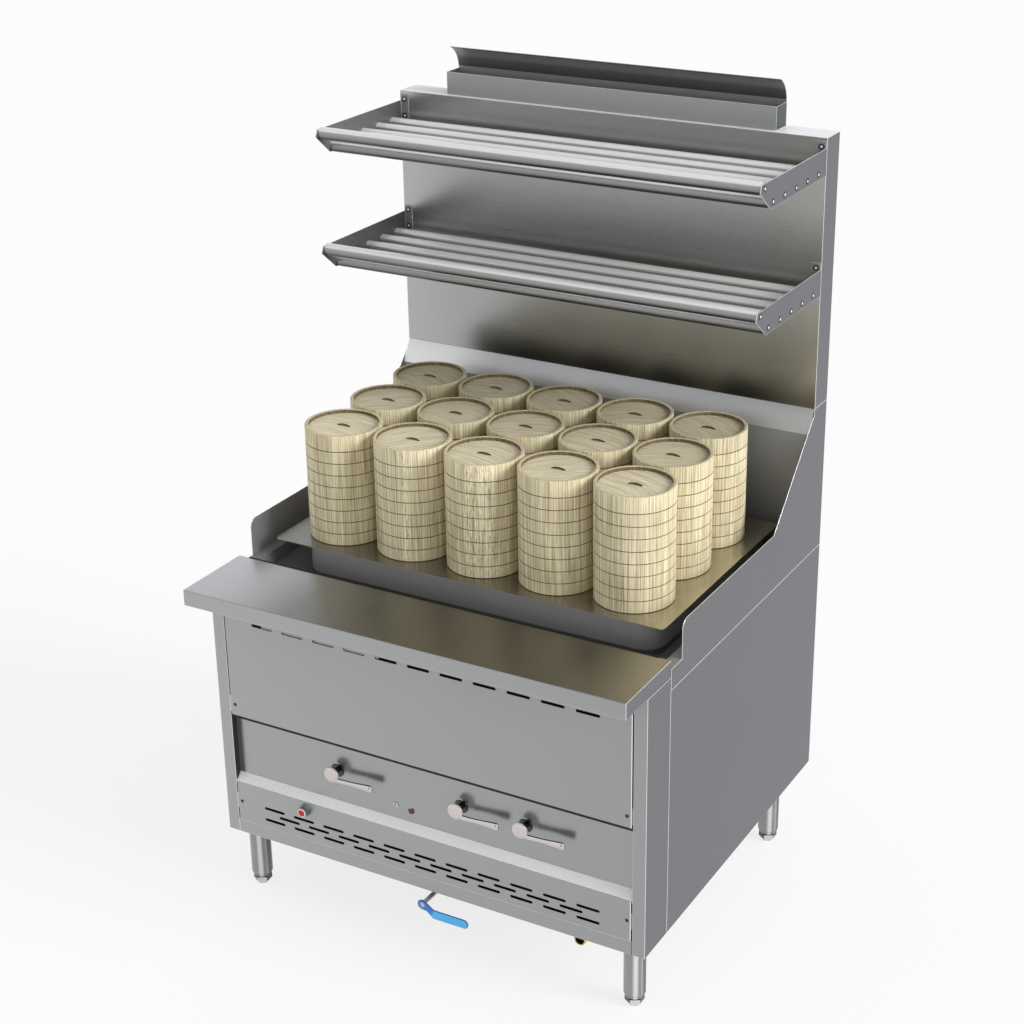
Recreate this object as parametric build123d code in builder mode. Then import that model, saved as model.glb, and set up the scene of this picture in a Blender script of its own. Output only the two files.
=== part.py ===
from build123d import *
import math
import os

# Gas-heated dumpling steamer: a stainless cabinet on four legs, a steam plate
# with fifteen stacks of bamboo baskets, a backsplash that is also the flue, and
# two tube overshelves. Millimetres. X to the operator's right, Y to the back,
# Z up, origin on the floor in the middle of the overall length and depth.

# Baskets and lids
basket_diameter = 172.4
basket_height = 27.9
basket_wall = 7.0
basket_floor = 5.0
basket_count = 8
basket_gap = 7.0
stack_columns = 5
stack_rows = 3
lid_height = 37.0
lid_rim = 8.0
lid_recess = 8.0
lid_top = 5.0
lid_grip_length = 33.0
lid_grip_height = 6.0
lid_grip_thickness = 3.0

# Steam plate with its skirt, and the gaps around it
plate_thickness = 2.0
plate_side_margin = 37.0
plate_front_margin = 26.5
plate_back_margin = 40.5
plate_corner = 12.0
skirt_depth = 59.0
skirt_left_setback = 75.0
skirt_right_setback = 16.0
skirt_back_setback = 16.0
skirt_corner = 49.0
steam_hole = 75.0
steam_hole_sides = 6
tray_side_gap = 24.0
tray_front_gap = 66.0
tray_back_gap = 28.0

# Fits between separate pieces
sheet = 1.5
rest_gap = 0.3
tank_gap = 3.0
panel_gap = 1.0
running_gap = 0.3

# Heights above the floor
leg_height = 160.0
base_rail_height = 34.0
lower_panel_height = 100.0
ledge_rise = 16.0
ledge_return = 8.0
panel_recess = 18.5
upper_panel_bottom = 468.0
shelf_height = 809.2
backsplash_top = 1710.0

# Heights measured down or up from the top of the work shelf
upper_slot_drop = 101.7
side_seam_drop = 67.2
well_floor_drop = 49.2
well_ledge_drop = 19.2
spout_drop = 15.2
plate_rise = 25.8
guard_rise = 66.8
band_rise = 239.8
backsplash_rise = 290.8

# Cabinet, shelf and backsplash in plan
well_ledge_width = 26.0
shelf_seat = 107.4
shelf_overhang = 92.7
shelf_lip = 36.4
shelf_rear_lip = 20.0
band_run = 30.0
backsplash_depth = 71.5
post_width = 30.0
post_depth = 104.5

# Splash guards
guard_front_step = 48.0
guard_corner = 20.0
guard_end_drop = 13.0

# Flue outlet on top
flue_length = 822.0
flue_depth = 55.0
flue_height = 52.0
flue_back_setback = 4.5
hood_radius = 60.0
hood_sweep = 67.5
flue_rim = 11.0

# Overshelves
overshelf_bottoms = (1362.0, 1627.5)
bracket_height = 60.0
bracket_reach = 351.0
bracket_bottom_reach = 297.5
bracket_nose_height = 44.0
bracket_nose_setback = 7.0
bracket_flange = 22.0
bracket_flange_low = 12.0
bracket_flange_over = 15.0
shelf_tube = 22.0
shelf_tube_pitch = 60.9
shelf_tube_rows = 5
shelf_tube_drop = 12.7
shelf_tube_last = 39.9
front_tube_height = 49.0
front_tube_setback = 22.7

# Legs and levelling feet
leg_tube = 48.3
leg_x = 487.0
leg_front_inset = 49.3
leg_back_inset = 132.5
leg_plate = 90.0
foot_height = 24.0
foot_taper = 13.0
foot_width = 41.0
foot_base = 22.0
foot_stem = 16.0
foot_stem_length = 60.0
foot_stem_room = 6.0
foot_seat_gap = 1.0

# Base frame of welded angle
frame_flange = 40.0
frame_thickness = 3.0
frame_upstand = 28.0

# Slots and screws in the front panels
slot_length = 55.0
slot_width = 6.0
slot_pitch = 80.1
slot_count = 11
lower_slot_heights = (243.0, 228.6, 213.4)
upper_screw = (490.0, 494.5)
lower_screw = (491.5, 243.0)
screw_head = 8.0
screw_head_height = 2.4
screw_tab = 40.0

# Gas train
valve_x = (-232.5, 85.4, 243.0)
valve_height = 389.0
valve_hole = 34.0
valve_body = 26.0
valve_front_setback = 32.0
valve_length = 62.0
valve_leg = 16.0
handle_cap = 38.0
handle_cap_thickness = 7.0
handle_reach = 28.5
handle_stem = 10.0
handle_length = 106.0
handle_drop = 8.0
handle_root = 11.0
handle_tip = 15.0
handle_thickness = 5.0
manifold_pipe = 26.7
manifold_drop = 36.0
manifold_setback = 60.0
manifold_end = 30.0
pipe_wall = 2.9
inlet_x = 367.0
inlet_height = 136.0
inlet_front = 25.0
inlet_union = 200.0
burner_bar = 44.0
burner_throat = 22.0
burner_throat_length = 60.0
burner_length = 520.0
burner_strap_width = 30.0
burner_strap_inset = 40.0

# Water tank and drain
tank_depth = 240.0
tank_wall = 2.0
tank_flange = 18.0
drain_x = 0.0
drain_setback = 95.0
drain_valve_height = 132.0
drain_body = 40.0
drain_outlet = 36.0
drain_tap_height = 18.0
lever_setback = -19.0
lever_hub = 24.0
lever_stem = 10.0
lever_neck = 14.0
lever_width = 22.0
lever_length = 116.5
lever_drop = 16.3
lever_bend_start = 28.0
lever_thickness = 3.0
spout_x = 54.0
spout_pipe = 10.0
spout_reach = 30.0
spout_bend = 16.0

# Controls on the front
button_x = -313.0
button_height = 273.0
button_cap = 22.0
button_travel = 5.0
button_stand = 4.0
bezel_diameter = 28.0
bezel_reach = 9.0
lamp_x = -42.8
lamp_height = 338.6
lamp_diameter = 15.0
lamp_reach = 4.0
sight_x = -82.6
sight_height = 343.4
sight_diameter = 13.0
sight_reach = 3.0

# Places worked out from the sizes above
well_floor = shelf_height - well_floor_drop
well_ledge = shelf_height - well_ledge_drop
side_seam_height = shelf_height - side_seam_drop
upper_slot_height = shelf_height - upper_slot_drop
spout_height = shelf_height - spout_drop
plate_height = shelf_height + plate_rise
guard_height = shelf_height + guard_rise
band_bottom = shelf_height + band_rise
backsplash_bottom = shelf_height + backsplash_rise
guard_slant_end = backsplash_bottom - guard_end_drop
tank_bottom = well_floor - tank_depth
basket_pitch = basket_diameter + basket_gap
stack_height = basket_height * basket_count
lid_bottom = plate_height + stack_height + rest_gap
plate_length = basket_pitch * (stack_columns - 1) + basket_diameter + 2 * plate_side_margin
row_span = basket_pitch * (stack_rows - 1)
plate_depth = row_span + basket_diameter + plate_front_margin + plate_back_margin
cabinet_width = plate_length + 2 * (tray_side_gap + well_ledge_width + sheet)
well_front = shelf_seat + sheet
plate_front_inset = well_front + tray_front_gap
rear_wall_inset = plate_front_inset + plate_depth + tray_back_gap
cabinet_depth = rear_wall_inset + band_run + backsplash_depth
overall_depth = shelf_overhang + cabinet_depth
front_y = shelf_overhang - overall_depth / 2
back_y = front_y + cabinet_depth
splash_y = back_y - backsplash_depth
inner_x = cabinet_width / 2 - sheet
well_x = inner_x - well_ledge_width
plate_front_y = front_y + plate_front_inset
plate_back_y = plate_front_y + plate_depth
plate_mid_y = plate_front_y + plate_depth / 2
first_row_y = plate_front_y + plate_front_margin + basket_diameter / 2
post_x = cabinet_width / 2 - post_width
ledge_bottom = leg_height + base_rail_height + lower_panel_height
ledge_top = ledge_bottom + ledge_rise
control_y = front_y + panel_recess
shelf_bottom = shelf_height - shelf_lip
front_leg_y = front_y + leg_front_inset
back_leg_y = back_y - leg_back_inset
rear_wall_y = front_y + rear_wall_inset

# The skirt and the tank inside it share one rounded outline, each inset from the last
skirt_left_x = -plate_length / 2 + skirt_left_setback
skirt_right_x = plate_length / 2 - skirt_right_setback
skirt_back_y = plate_back_y - skirt_back_setback
skirt_mid_x = (skirt_left_x + skirt_right_x) / 2
skirt_mid_y = (plate_front_y + skirt_back_y) / 2
skirt_length = skirt_right_x - skirt_left_x
skirt_width = skirt_back_y - plate_front_y

os.makedirs("parts", exist_ok=True)


def level(height):
    """A horizontal plane at this height, drawn in X and Y."""
    return Plane.XY.offset(height)


def facing(y):
    """An upright plane at this depth, drawn in X and Z and facing the operator."""
    return Plane.XZ.offset(-y)


def across(x):
    """An upright plane at this X, drawn in Y and Z."""
    return Plane.YZ.offset(x)


def looking_back(x, y, height):
    """A plane at this point whose normal points to the back, for a pipe that starts that way."""
    return Plane((x, y, height), x_dir=(1, 0, 0), z_dir=(0, 1, 0))


def save(piece, node):
    """Name a finished piece and write it as one STEP file."""
    piece.part.label = node
    export_step(piece.part, f"parts/{node}.step")


def skirt_outline(inset):
    """The rounded rectangle of the skirt, drawn smaller by this inset."""
    return RectangleRounded(skirt_length - 2 * inset, skirt_width - 2 * inset, skirt_corner - inset)


def skirt_plane(height):
    """A horizontal plane with its origin in the middle of the skirt."""
    return Plane((skirt_mid_x, skirt_mid_y, height))


# Baskets: each row is five stacks, the lower baskets closed by the ones above
for row, row_name in enumerate(("front", "middle", "back")):
    row_y = first_row_y + row * basket_pitch
    with BuildPart() as stacks:
        with BuildSketch(Plane((0, row_y, plate_height))):
            with GridLocations(basket_pitch, basket_pitch, stack_columns, 1):
                Circle(basket_diameter / 2)
        extrude(amount=stack_height)
        with BuildSketch(Plane((0, row_y, plate_height + stack_height))):
            with GridLocations(basket_pitch, basket_pitch, stack_columns, 1):
                Circle(basket_diameter / 2 - basket_wall)
        extrude(amount=basket_floor - basket_height, mode=Mode.SUBTRACT)
    save(stacks, f"{row_name}_basket_stacks")

# Lids: a hoop, hollow below, with its top set below the rim and a humped grip along X
lid_number = 0
for row in range(stack_rows):
    for column in range(stack_columns):
        lid_number += 1
        lid_x = (column - (stack_columns - 1) / 2) * basket_pitch
        lid_y = first_row_y + row * basket_pitch
        lid_deck = lid_bottom + lid_height - lid_recess
        with BuildPart() as lid:
            with BuildSketch(Plane((lid_x, lid_y, lid_bottom))):
                Circle(basket_diameter / 2)
            extrude(amount=lid_height)
            with BuildSketch(Plane((lid_x, lid_y, lid_bottom + lid_height))):
                Circle(basket_diameter / 2 - lid_rim)
            extrude(amount=-lid_recess, mode=Mode.SUBTRACT)
            with BuildSketch(Plane((lid_x, lid_y, lid_bottom))):
                Circle(basket_diameter / 2 - basket_wall)
            extrude(amount=lid_height - lid_recess - lid_top, mode=Mode.SUBTRACT)
            with BuildSketch(Plane.XZ.offset(-lid_y)):
                with BuildLine():
                    grip = lid_grip_length / 2
                    Polyline(
                        (lid_x - grip, lid_deck),
                        (lid_x - grip / 2, lid_deck + lid_grip_height),
                        (lid_x + grip / 2, lid_deck + lid_grip_height),
                        (lid_x + grip, lid_deck),
                        close=True,
                    )
                make_face()
            extrude(amount=lid_grip_thickness / 2, both=True)
        save(lid, f"lid_{lid_number:02d}")

# Steam plate with its skirt: lifts off the tank like a lid, with a steam hole under each stack
with BuildPart() as steam_tray:
    with BuildSketch(Plane((0, plate_mid_y, plate_height))):
        RectangleRounded(plate_length, plate_depth, plate_corner)
    extrude(amount=-plate_thickness)
    with BuildSketch(skirt_plane(plate_height - plate_thickness)):
        skirt_outline(0)
        add(skirt_outline(sheet), mode=Mode.SUBTRACT)
    extrude(amount=plate_thickness - skirt_depth)
    with BuildSketch(Plane((0, first_row_y + row_span / 2, plate_height))):
        with GridLocations(basket_pitch, basket_pitch, stack_columns, stack_rows):
            RegularPolygon(steam_hole / 2, steam_hole_sides)
    extrude(amount=-plate_thickness, mode=Mode.SUBTRACT)
save(steam_tray, "steam_tray")

# Water tank: hangs by its flange under the well floor, its rim just under the plate
tank_inset = sheet + tank_gap
with BuildPart() as water_tank:
    with BuildSketch(skirt_plane(tank_bottom)):
        skirt_outline(tank_inset)
    extrude(amount=plate_height - plate_thickness - rest_gap - tank_bottom)
    offset(amount=-tank_wall, openings=water_tank.faces().sort_by(Axis.Z)[-1])
    with BuildSketch(skirt_plane(well_floor - sheet)):
        skirt_outline(tank_inset - tank_flange)
        add(skirt_outline(tank_inset + tank_wall / 2), mode=Mode.SUBTRACT)
    extrude(amount=-tank_wall)
save(water_tank, "water_tank")

# Well deck: the pan around the tank, with a front wall and two side ledges
deck_front_y = front_y + shelf_seat
deck_depth = rear_wall_y + sheet - deck_front_y
with BuildPart() as well_deck:
    with BuildSketch(facing(rear_wall_y + sheet)):
        with BuildLine():
            Polyline(
                (-inner_x, well_ledge),
                (-well_x, well_ledge),
                (-well_x, well_floor),
                (well_x, well_floor),
                (well_x, well_ledge),
                (inner_x, well_ledge),
                (inner_x, well_ledge - sheet),
                (well_x + sheet, well_ledge - sheet),
                (well_x + sheet, well_floor - sheet),
                (-well_x - sheet, well_floor - sheet),
                (-well_x - sheet, well_ledge - sheet),
                (-inner_x, well_ledge - sheet),
                close=True,
            )
        make_face()
    extrude(amount=deck_depth)
    with BuildSketch(facing(deck_front_y + sheet)):
        with Locations((0, (well_floor + shelf_height - sheet) / 2)):
            Rectangle(2 * well_x, shelf_height - sheet - well_floor)
    extrude(amount=sheet)
    with BuildSketch(skirt_plane(well_floor)):
        skirt_outline(tank_inset)
    extrude(amount=-sheet, mode=Mode.SUBTRACT)
save(well_deck, "well_deck")

# Rear wall of the well, with the sloped band that runs up to the backsplash
with BuildPart() as rear_wall:
    with BuildSketch(across(-inner_x)):
        with BuildLine():
            Polyline(
                (rear_wall_y, well_ledge),
                (rear_wall_y, band_bottom),
                (splash_y, backsplash_bottom),
                (splash_y, backsplash_bottom - 2 * sheet),
                (rear_wall_y + sheet, band_bottom - sheet / 2),
                (rear_wall_y + sheet, well_ledge),
                close=True,
            )
        make_face()
    extrude(amount=2 * inner_x)
    with BuildSketch(across(-well_x)):
        with Locations((rear_wall_y + sheet / 2, (well_floor + well_ledge) / 2)):
            Rectangle(sheet, well_ledge - well_floor)
    extrude(amount=2 * well_x)
save(rear_wall, "rear_wall")

# Corner posts: folded angles whose inner edge turns back as the side of the recess
for side, sign in (("left", -1), ("right", 1)):
    outer_x = sign * cabinet_width / 2
    post_edge = sign * post_x
    return_x = sign * (post_x + sheet)
    with BuildPart() as post:
        with BuildSketch(level(leg_height)):
            with BuildLine():
                Polyline(
                    (outer_x, front_y + post_depth),
                    (outer_x, front_y),
                    (post_edge, front_y),
                    (post_edge, front_y + sheet),
                    (outer_x - sign * sheet, front_y + sheet),
                    (outer_x - sign * sheet, front_y + post_depth),
                    close=True,
                )
            make_face()
        extrude(amount=shelf_bottom - leg_height)
        with BuildSketch(level(leg_height + base_rail_height)):
            with Locations(((post_edge + return_x) / 2, front_y + (sheet + panel_recess) / 2)):
                Rectangle(sheet, panel_recess - sheet)
        extrude(amount=shelf_bottom - leg_height - base_rail_height)
        for screw_x, screw_height in (upper_screw, lower_screw):
            tab_width = post_x - screw_x + screw_head
            with BuildSketch(facing(front_y + sheet)):
                with Locations((sign * (post_x - tab_width / 2), screw_height)):
                    Rectangle(tab_width, screw_tab)
            extrude(amount=-sheet)
    save(post, f"{side}_corner_post")

    # Side panel: a flat sheet from the corner post to the back
    with BuildPart() as side_panel:
        with BuildSketch(facing(back_y)):
            with BuildLine():
                Polyline(
                    (outer_x, side_seam_height),
                    (outer_x, leg_height),
                    (outer_x - sign * sheet, leg_height),
                    (outer_x - sign * sheet, side_seam_height),
                    close=True,
                )
            make_face()
        extrude(amount=cabinet_depth - post_depth - panel_gap / 2)
    save(side_panel, f"{side}_side_panel")

    # Splash guard: low at the shelf, a rounded step up, then a slant to the backsplash
    guard_start = front_y + shelf_seat - sheet
    guard_step = front_y + shelf_seat + guard_front_step
    slant_start = splash_y - (guard_slant_end - guard_height)
    with BuildPart() as guard:
        with BuildSketch(across(sign * inner_x)):
            with BuildLine():
                Polyline(
                    (guard_step, guard_height - guard_corner),
                    (guard_step, well_ledge),
                    (guard_start, well_ledge),
                    (guard_start, side_seam_height + panel_gap / 2),
                    (back_y, side_seam_height + panel_gap / 2),
                    (back_y, backsplash_bottom),
                    (splash_y, backsplash_bottom),
                    (splash_y, guard_slant_end),
                    (slant_start, guard_height),
                    (guard_step + guard_corner, guard_height),
                )
                RadiusArc(
                    (guard_step + guard_corner, guard_height),
                    (guard_step, guard_height - guard_corner),
                    -guard_corner,
                )
            make_face()
        extrude(amount=sign * sheet)
    save(guard, f"{side}_splash_guard")

# Back panel, between the two sides
with BuildPart() as back_panel:
    with BuildSketch(facing(back_y)):
        with Locations((0, (leg_height + backsplash_bottom) / 2)):
            Rectangle(2 * inner_x, backsplash_bottom - leg_height)
    extrude(amount=sheet)
save(back_panel, "back_panel")

# Base frame: welded angle with a plate over each leg
frame_front_y = front_y + sheet
frame_back_y = back_y - sheet
frame_mid_y = (frame_front_y + frame_back_y) / 2
frame_depth = frame_back_y - frame_front_y
leg_places = [(x, y) for y in (front_leg_y, back_leg_y) for x in (-leg_x, leg_x)]
with BuildPart() as base_frame:
    with BuildSketch(Plane((0, frame_mid_y, leg_height))):
        Rectangle(2 * inner_x, frame_depth)
        Rectangle(2 * (inner_x - frame_flange), frame_depth - 2 * frame_flange, mode=Mode.SUBTRACT)
    extrude(amount=frame_thickness)
    with BuildSketch(Plane((0, frame_mid_y, leg_height + frame_thickness))):
        Rectangle(2 * inner_x, frame_depth)
        Rectangle(
            2 * (inner_x - frame_thickness), frame_depth - 2 * frame_thickness, mode=Mode.SUBTRACT
        )
    extrude(amount=frame_upstand - frame_thickness)
    with BuildSketch(level(leg_height)):
        with Locations(*leg_places):
            Rectangle(leg_plate, leg_plate)
    extrude(amount=frame_thickness)
save(base_frame, "base_frame")

# Legs: round tubes closed at the bottom by an insert that takes the foot's stem
leg_bottom = foot_height + foot_seat_gap
with BuildPart() as legs:
    with BuildSketch(level(leg_bottom)):
        with Locations(*leg_places):
            Circle(leg_tube / 2)
    extrude(amount=leg_height - leg_bottom)
    with BuildSketch(level(leg_bottom)):
        with Locations(*leg_places):
            Circle(foot_stem / 2 + running_gap)
    extrude(amount=foot_stem_length + foot_stem_room, mode=Mode.SUBTRACT)
save(legs, "legs")

# Levelling feet: hexagon bullets on a stem that screws into the leg
foot_names = ("front_left", "front_right", "back_left", "back_right")
foot_slope = math.degrees(math.atan2(foot_width - foot_base, 2 * foot_taper))
for foot_name, (foot_x, foot_y) in zip(foot_names, leg_places):
    with BuildPart() as foot:
        with BuildSketch(Plane((foot_x, foot_y, foot_taper))):
            RegularPolygon(foot_width / 2, 6, major_radius=False)
        extrude(amount=foot_height - foot_taper)
        with BuildSketch(Plane((foot_x, foot_y, foot_taper))):
            RegularPolygon(foot_width / 2, 6, major_radius=False)
        extrude(amount=-foot_taper, taper=foot_slope)
        with BuildSketch(Plane((foot_x, foot_y, foot_height))):
            Circle(foot_stem / 2)
        extrude(amount=foot_stem_length)
    save(foot, f"levelling_foot_{foot_name}")

# Base rail between the posts, folded back at its top edge
with BuildPart() as base_rail:
    with BuildSketch(across(-post_x)):
        with BuildLine():
            Polyline(
                (front_y, leg_height),
                (front_y, leg_height + base_rail_height),
                (front_y + panel_recess, leg_height + base_rail_height),
                (front_y + panel_recess, leg_height + base_rail_height - sheet),
                (front_y + sheet, leg_height + base_rail_height - sheet),
                (front_y + sheet, leg_height),
                close=True,
            )
        make_face()
    extrude(amount=2 * post_x)
save(base_rail, "base_rail")

# Lower front panel: three rows of slots, the middle one set half a pitch across
panel_length = 2 * (post_x - panel_gap)
with BuildPart() as lower_front_panel:
    with BuildSketch(facing(front_y + sheet)):
        with Locations((0, ledge_bottom - lower_panel_height / 2)):
            Rectangle(panel_length, lower_panel_height - panel_gap)
        for slot_row, slot_height in enumerate(lower_slot_heights):
            with Locations((0, slot_height)):
                with GridLocations(slot_pitch, slot_pitch, slot_count - slot_row % 2, 1):
                    Rectangle(slot_length, slot_width, mode=Mode.SUBTRACT)
        with Locations((button_x, button_height)):
            Circle(button_cap / 2 + running_gap, mode=Mode.SUBTRACT)
    extrude(amount=sheet)
save(lower_front_panel, "lower_front_panel")

# Upper front panel: one row of slots, held behind the shelf lip
upper_panel_top = shelf_height - sheet
with BuildPart() as upper_front_panel:
    with BuildSketch(facing(front_y + sheet)):
        with Locations((0, (upper_panel_bottom + upper_panel_top) / 2)):
            Rectangle(panel_length, upper_panel_top - upper_panel_bottom)
        with Locations((0, upper_slot_height)):
            with GridLocations(slot_pitch, slot_pitch, slot_count, 1):
                Rectangle(slot_length, slot_width, mode=Mode.SUBTRACT)
    extrude(amount=sheet)
save(upper_front_panel, "upper_front_panel")

# Control panel: set back behind the upper panel, sloping out at the bottom as a ledge
control_top = upper_panel_bottom + panel_recess
with BuildPart() as control_panel:
    with BuildSketch(across(-post_x)):
        with BuildLine():
            Polyline(
                (control_y, control_top),
                (control_y, ledge_top),
                (front_y, ledge_bottom),
                (front_y, ledge_bottom - panel_gap / 2),
                (front_y + sheet, ledge_bottom - panel_gap / 2),
                (front_y + sheet, ledge_bottom - ledge_return),
                (front_y + 2 * sheet, ledge_bottom - ledge_return),
                (front_y + 2 * sheet, ledge_bottom),
                (control_y + sheet, ledge_top - sheet / 2),
                (control_y + sheet, control_top),
                close=True,
            )
        make_face()
    extrude(amount=2 * post_x)
    with BuildSketch(facing(control_y)):
        with Locations(*[(x, valve_height) for x in valve_x]):
            Circle(valve_hole / 2)
    extrude(amount=-sheet, mode=Mode.SUBTRACT)
save(control_panel, "control_panel")

# Work shelf: a folded cover with a front lip, two end lips and a short rear lip
shelf_depth = shelf_overhang + shelf_seat
shelf_mid_y = front_y + shelf_seat - shelf_depth / 2
with BuildPart() as work_shelf:
    with BuildSketch(Plane((0, shelf_mid_y, shelf_height))):
        Rectangle(2 * inner_x, shelf_depth)
    extrude(amount=-shelf_lip)
    fillet(work_shelf.edges().filter_by(Axis.X).sort_by(Axis.Y)[0:2].sort_by(Axis.Z)[-1], 2 * sheet)
    with BuildSketch(Plane((0, shelf_mid_y, shelf_height - sheet))):
        Rectangle(2 * (inner_x - sheet), shelf_depth - 2 * sheet)
    extrude(amount=sheet - shelf_lip, mode=Mode.SUBTRACT)
    with BuildSketch(Plane((0, front_y + shelf_seat - sheet / 2, shelf_bottom))):
        Rectangle(2 * (inner_x - sheet), sheet)
    extrude(amount=shelf_lip - shelf_rear_lip, mode=Mode.SUBTRACT)
save(work_shelf, "work_shelf")

# Backsplash: a tall box that carries the burnt gas up to the outlet in its top
flue_front_y = back_y - flue_back_setback - flue_depth
flue_mid_y = flue_front_y + flue_depth / 2
with BuildPart() as backsplash:
    with BuildSketch(Plane((0, back_y - backsplash_depth / 2, backsplash_bottom))):
        Rectangle(cabinet_width, backsplash_depth)
    extrude(amount=backsplash_top - backsplash_bottom)
    offset(amount=-sheet, openings=backsplash.faces().sort_by(Axis.Z)[0])
    with BuildSketch(Plane((0, flue_mid_y, backsplash_top))):
        Rectangle(flue_length - 2 * flue_rim, flue_depth - 2 * flue_rim)
    extrude(amount=-sheet, mode=Mode.SUBTRACT)
save(backsplash, "backsplash")

# Flue box: an open trough over the outlet, its back curling forward as a hood
flue_top = backsplash_top + flue_height
hood_angle = math.radians(hood_sweep)
hood_y = back_y - flue_back_setback - hood_radius
hood_half = math.radians(hood_sweep / 2)


def hood_point(radius, angle):
    """A point on the hood's curve, in Y and Z."""
    return (hood_y + radius * math.cos(angle), flue_top + radius * math.sin(angle))


with BuildPart() as flue_box:
    with BuildSketch(Plane((0, flue_mid_y, backsplash_top))):
        Rectangle(flue_length, flue_depth)
        Rectangle(flue_length - 2 * sheet, flue_depth - 2 * sheet, mode=Mode.SUBTRACT)
    extrude(amount=flue_height)
    with BuildSketch(across(-flue_length / 2)):
        with BuildLine():
            inner_hood = hood_radius - sheet
            ThreePointArc(
                hood_point(hood_radius, 0),
                hood_point(hood_radius, hood_half),
                hood_point(hood_radius, hood_angle),
            )
            Line(hood_point(hood_radius, hood_angle), hood_point(inner_hood, hood_angle))
            ThreePointArc(
                hood_point(inner_hood, hood_angle),
                hood_point(inner_hood, hood_half),
                hood_point(inner_hood, 0),
            )
            Line(hood_point(inner_hood, 0), hood_point(hood_radius, 0))
        make_face()
    extrude(amount=flue_length)
save(flue_box, "flue_box")

# Overshelf brackets: a nosed side plate with a flange screwed to the backsplash
with BuildPart() as overshelf_brackets:
    for shelf_z in overshelf_bottoms:
        with BuildSketch(across(-inner_x), across(inner_x - sheet)):
            with BuildLine():
                Polyline(
                    (splash_y, shelf_z),
                    (splash_y - bracket_bottom_reach, shelf_z),
                    (splash_y - bracket_reach, shelf_z + bracket_nose_height),
                    (splash_y - bracket_reach + bracket_nose_setback, shelf_z + bracket_height),
                    (splash_y, shelf_z + bracket_height),
                    close=True,
                )
            make_face()
        extrude(amount=sheet)
        flange_x = inner_x - bracket_flange / 2
        flange_bottom = shelf_z + bracket_flange_low
        flange_top = shelf_z + bracket_height + bracket_flange_over
        with BuildSketch(facing(splash_y)):
            with Locations((-flange_x, (flange_bottom + flange_top) / 2)):
                Rectangle(bracket_flange, flange_top - flange_bottom)
            with Locations((flange_x, (flange_bottom + flange_top) / 2)):
                Rectangle(bracket_flange, flange_top - flange_bottom)
        extrude(amount=sheet)
save(overshelf_brackets, "overshelf_brackets")

# Overshelf tubes: five on one level and a sixth raised at the nose as a guard
tube_places = []
for shelf_z in overshelf_bottoms:
    tube_places.append((splash_y - bracket_reach + front_tube_setback, shelf_z + front_tube_height))
    for tube_row in range(shelf_tube_rows):
        tube_y = splash_y - shelf_tube_last - tube_row * shelf_tube_pitch
        tube_places.append((tube_y, shelf_z + shelf_tube_drop))
with BuildPart() as overshelf_tubes:
    with BuildSketch(across(sheet - inner_x)):
        with Locations(*tube_places):
            Circle(shelf_tube / 2)
    extrude(amount=2 * (inner_x - sheet))
save(overshelf_tubes, "overshelf_tubes")

# Bracket screws: two through each flange into the backsplash
with BuildPart() as bracket_screws:
    for shelf_z in overshelf_bottoms:
        flange_x = inner_x - bracket_flange / 2
        flange_bottom = shelf_z + bracket_flange_low
        flange_top = shelf_z + bracket_height + bracket_flange_over
        with BuildSketch(facing(splash_y - sheet)):
            with Locations(
                (-flange_x, flange_bottom + screw_head * 1.5),
                (flange_x, flange_bottom + screw_head * 1.5),
                (-flange_x, flange_top - screw_head * 1.5),
                (flange_x, flange_top - screw_head * 1.5),
            ):
                RegularPolygon(screw_head / 2, 6)
        extrude(amount=screw_head_height, taper=30)
save(bracket_screws, "bracket_screws")

# Panel screws: two each in the upper and lower front panels
with BuildPart() as panel_screws:
    with BuildSketch(facing(front_y)):
        with Locations(
            upper_screw,
            lower_screw,
            (-upper_screw[0], upper_screw[1]),
            (-lower_screw[0], lower_screw[1]),
        ):
            RegularPolygon(screw_head / 2, 6)
    extrude(amount=screw_head_height, taper=30)
save(panel_screws, "panel_screws")

# Gas valves: a hexagon body behind the panel with a leg down to the manifold
valve_front_y = front_y + valve_front_setback
manifold_y = front_y + manifold_setback
manifold_height = valve_height - manifold_drop
with BuildPart() as gas_valves:
    with BuildSketch(facing(valve_front_y + valve_length)):
        with Locations(*[(x, valve_height) for x in valve_x]):
            RegularPolygon(valve_body / 2, 6, major_radius=False)
    extrude(amount=valve_length)
    with BuildSketch(level(manifold_height + manifold_pipe / 2)):
        with Locations(*[(x, manifold_y) for x in valve_x]):
            RegularPolygon(valve_leg / 2, 6, major_radius=False)
    extrude(amount=manifold_drop - manifold_pipe / 2)
save(gas_valves, "gas_valves")

# Gas manifold: one pipe that rises from the inlet and runs along under the valves
manifold_left = valve_x[0] - manifold_end
with BuildPart() as gas_manifold:
    with BuildSketch(Plane((inlet_x, manifold_y, inlet_union))):
        Circle(manifold_pipe / 2)
    extrude(amount=manifold_height - inlet_union)
    with BuildSketch(across(manifold_left)):
        with Locations((manifold_y, manifold_height)):
            Circle(manifold_pipe / 2)
    extrude(amount=inlet_x - manifold_left)
save(gas_manifold, "gas_manifold")

# Gas inlet: a brass elbow that opens to the front under the base rail
inlet_mouth_y = front_y + inlet_front
with BuildPart() as gas_inlet:
    with BuildSketch(Plane((inlet_x, manifold_y, inlet_height))):
        Circle(manifold_pipe / 2)
    extrude(amount=inlet_union - inlet_height)
    with BuildSketch(looking_back(inlet_x, inlet_mouth_y, inlet_height)):
        Circle(manifold_pipe / 2)
    extrude(amount=manifold_setback - inlet_front)
    with BuildSketch(looking_back(inlet_x, inlet_mouth_y, inlet_height)):
        Circle(manifold_pipe / 2 - pipe_wall)
    extrude(amount=manifold_setback - inlet_front, mode=Mode.SUBTRACT)
save(gas_inlet, "gas_inlet")

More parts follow.
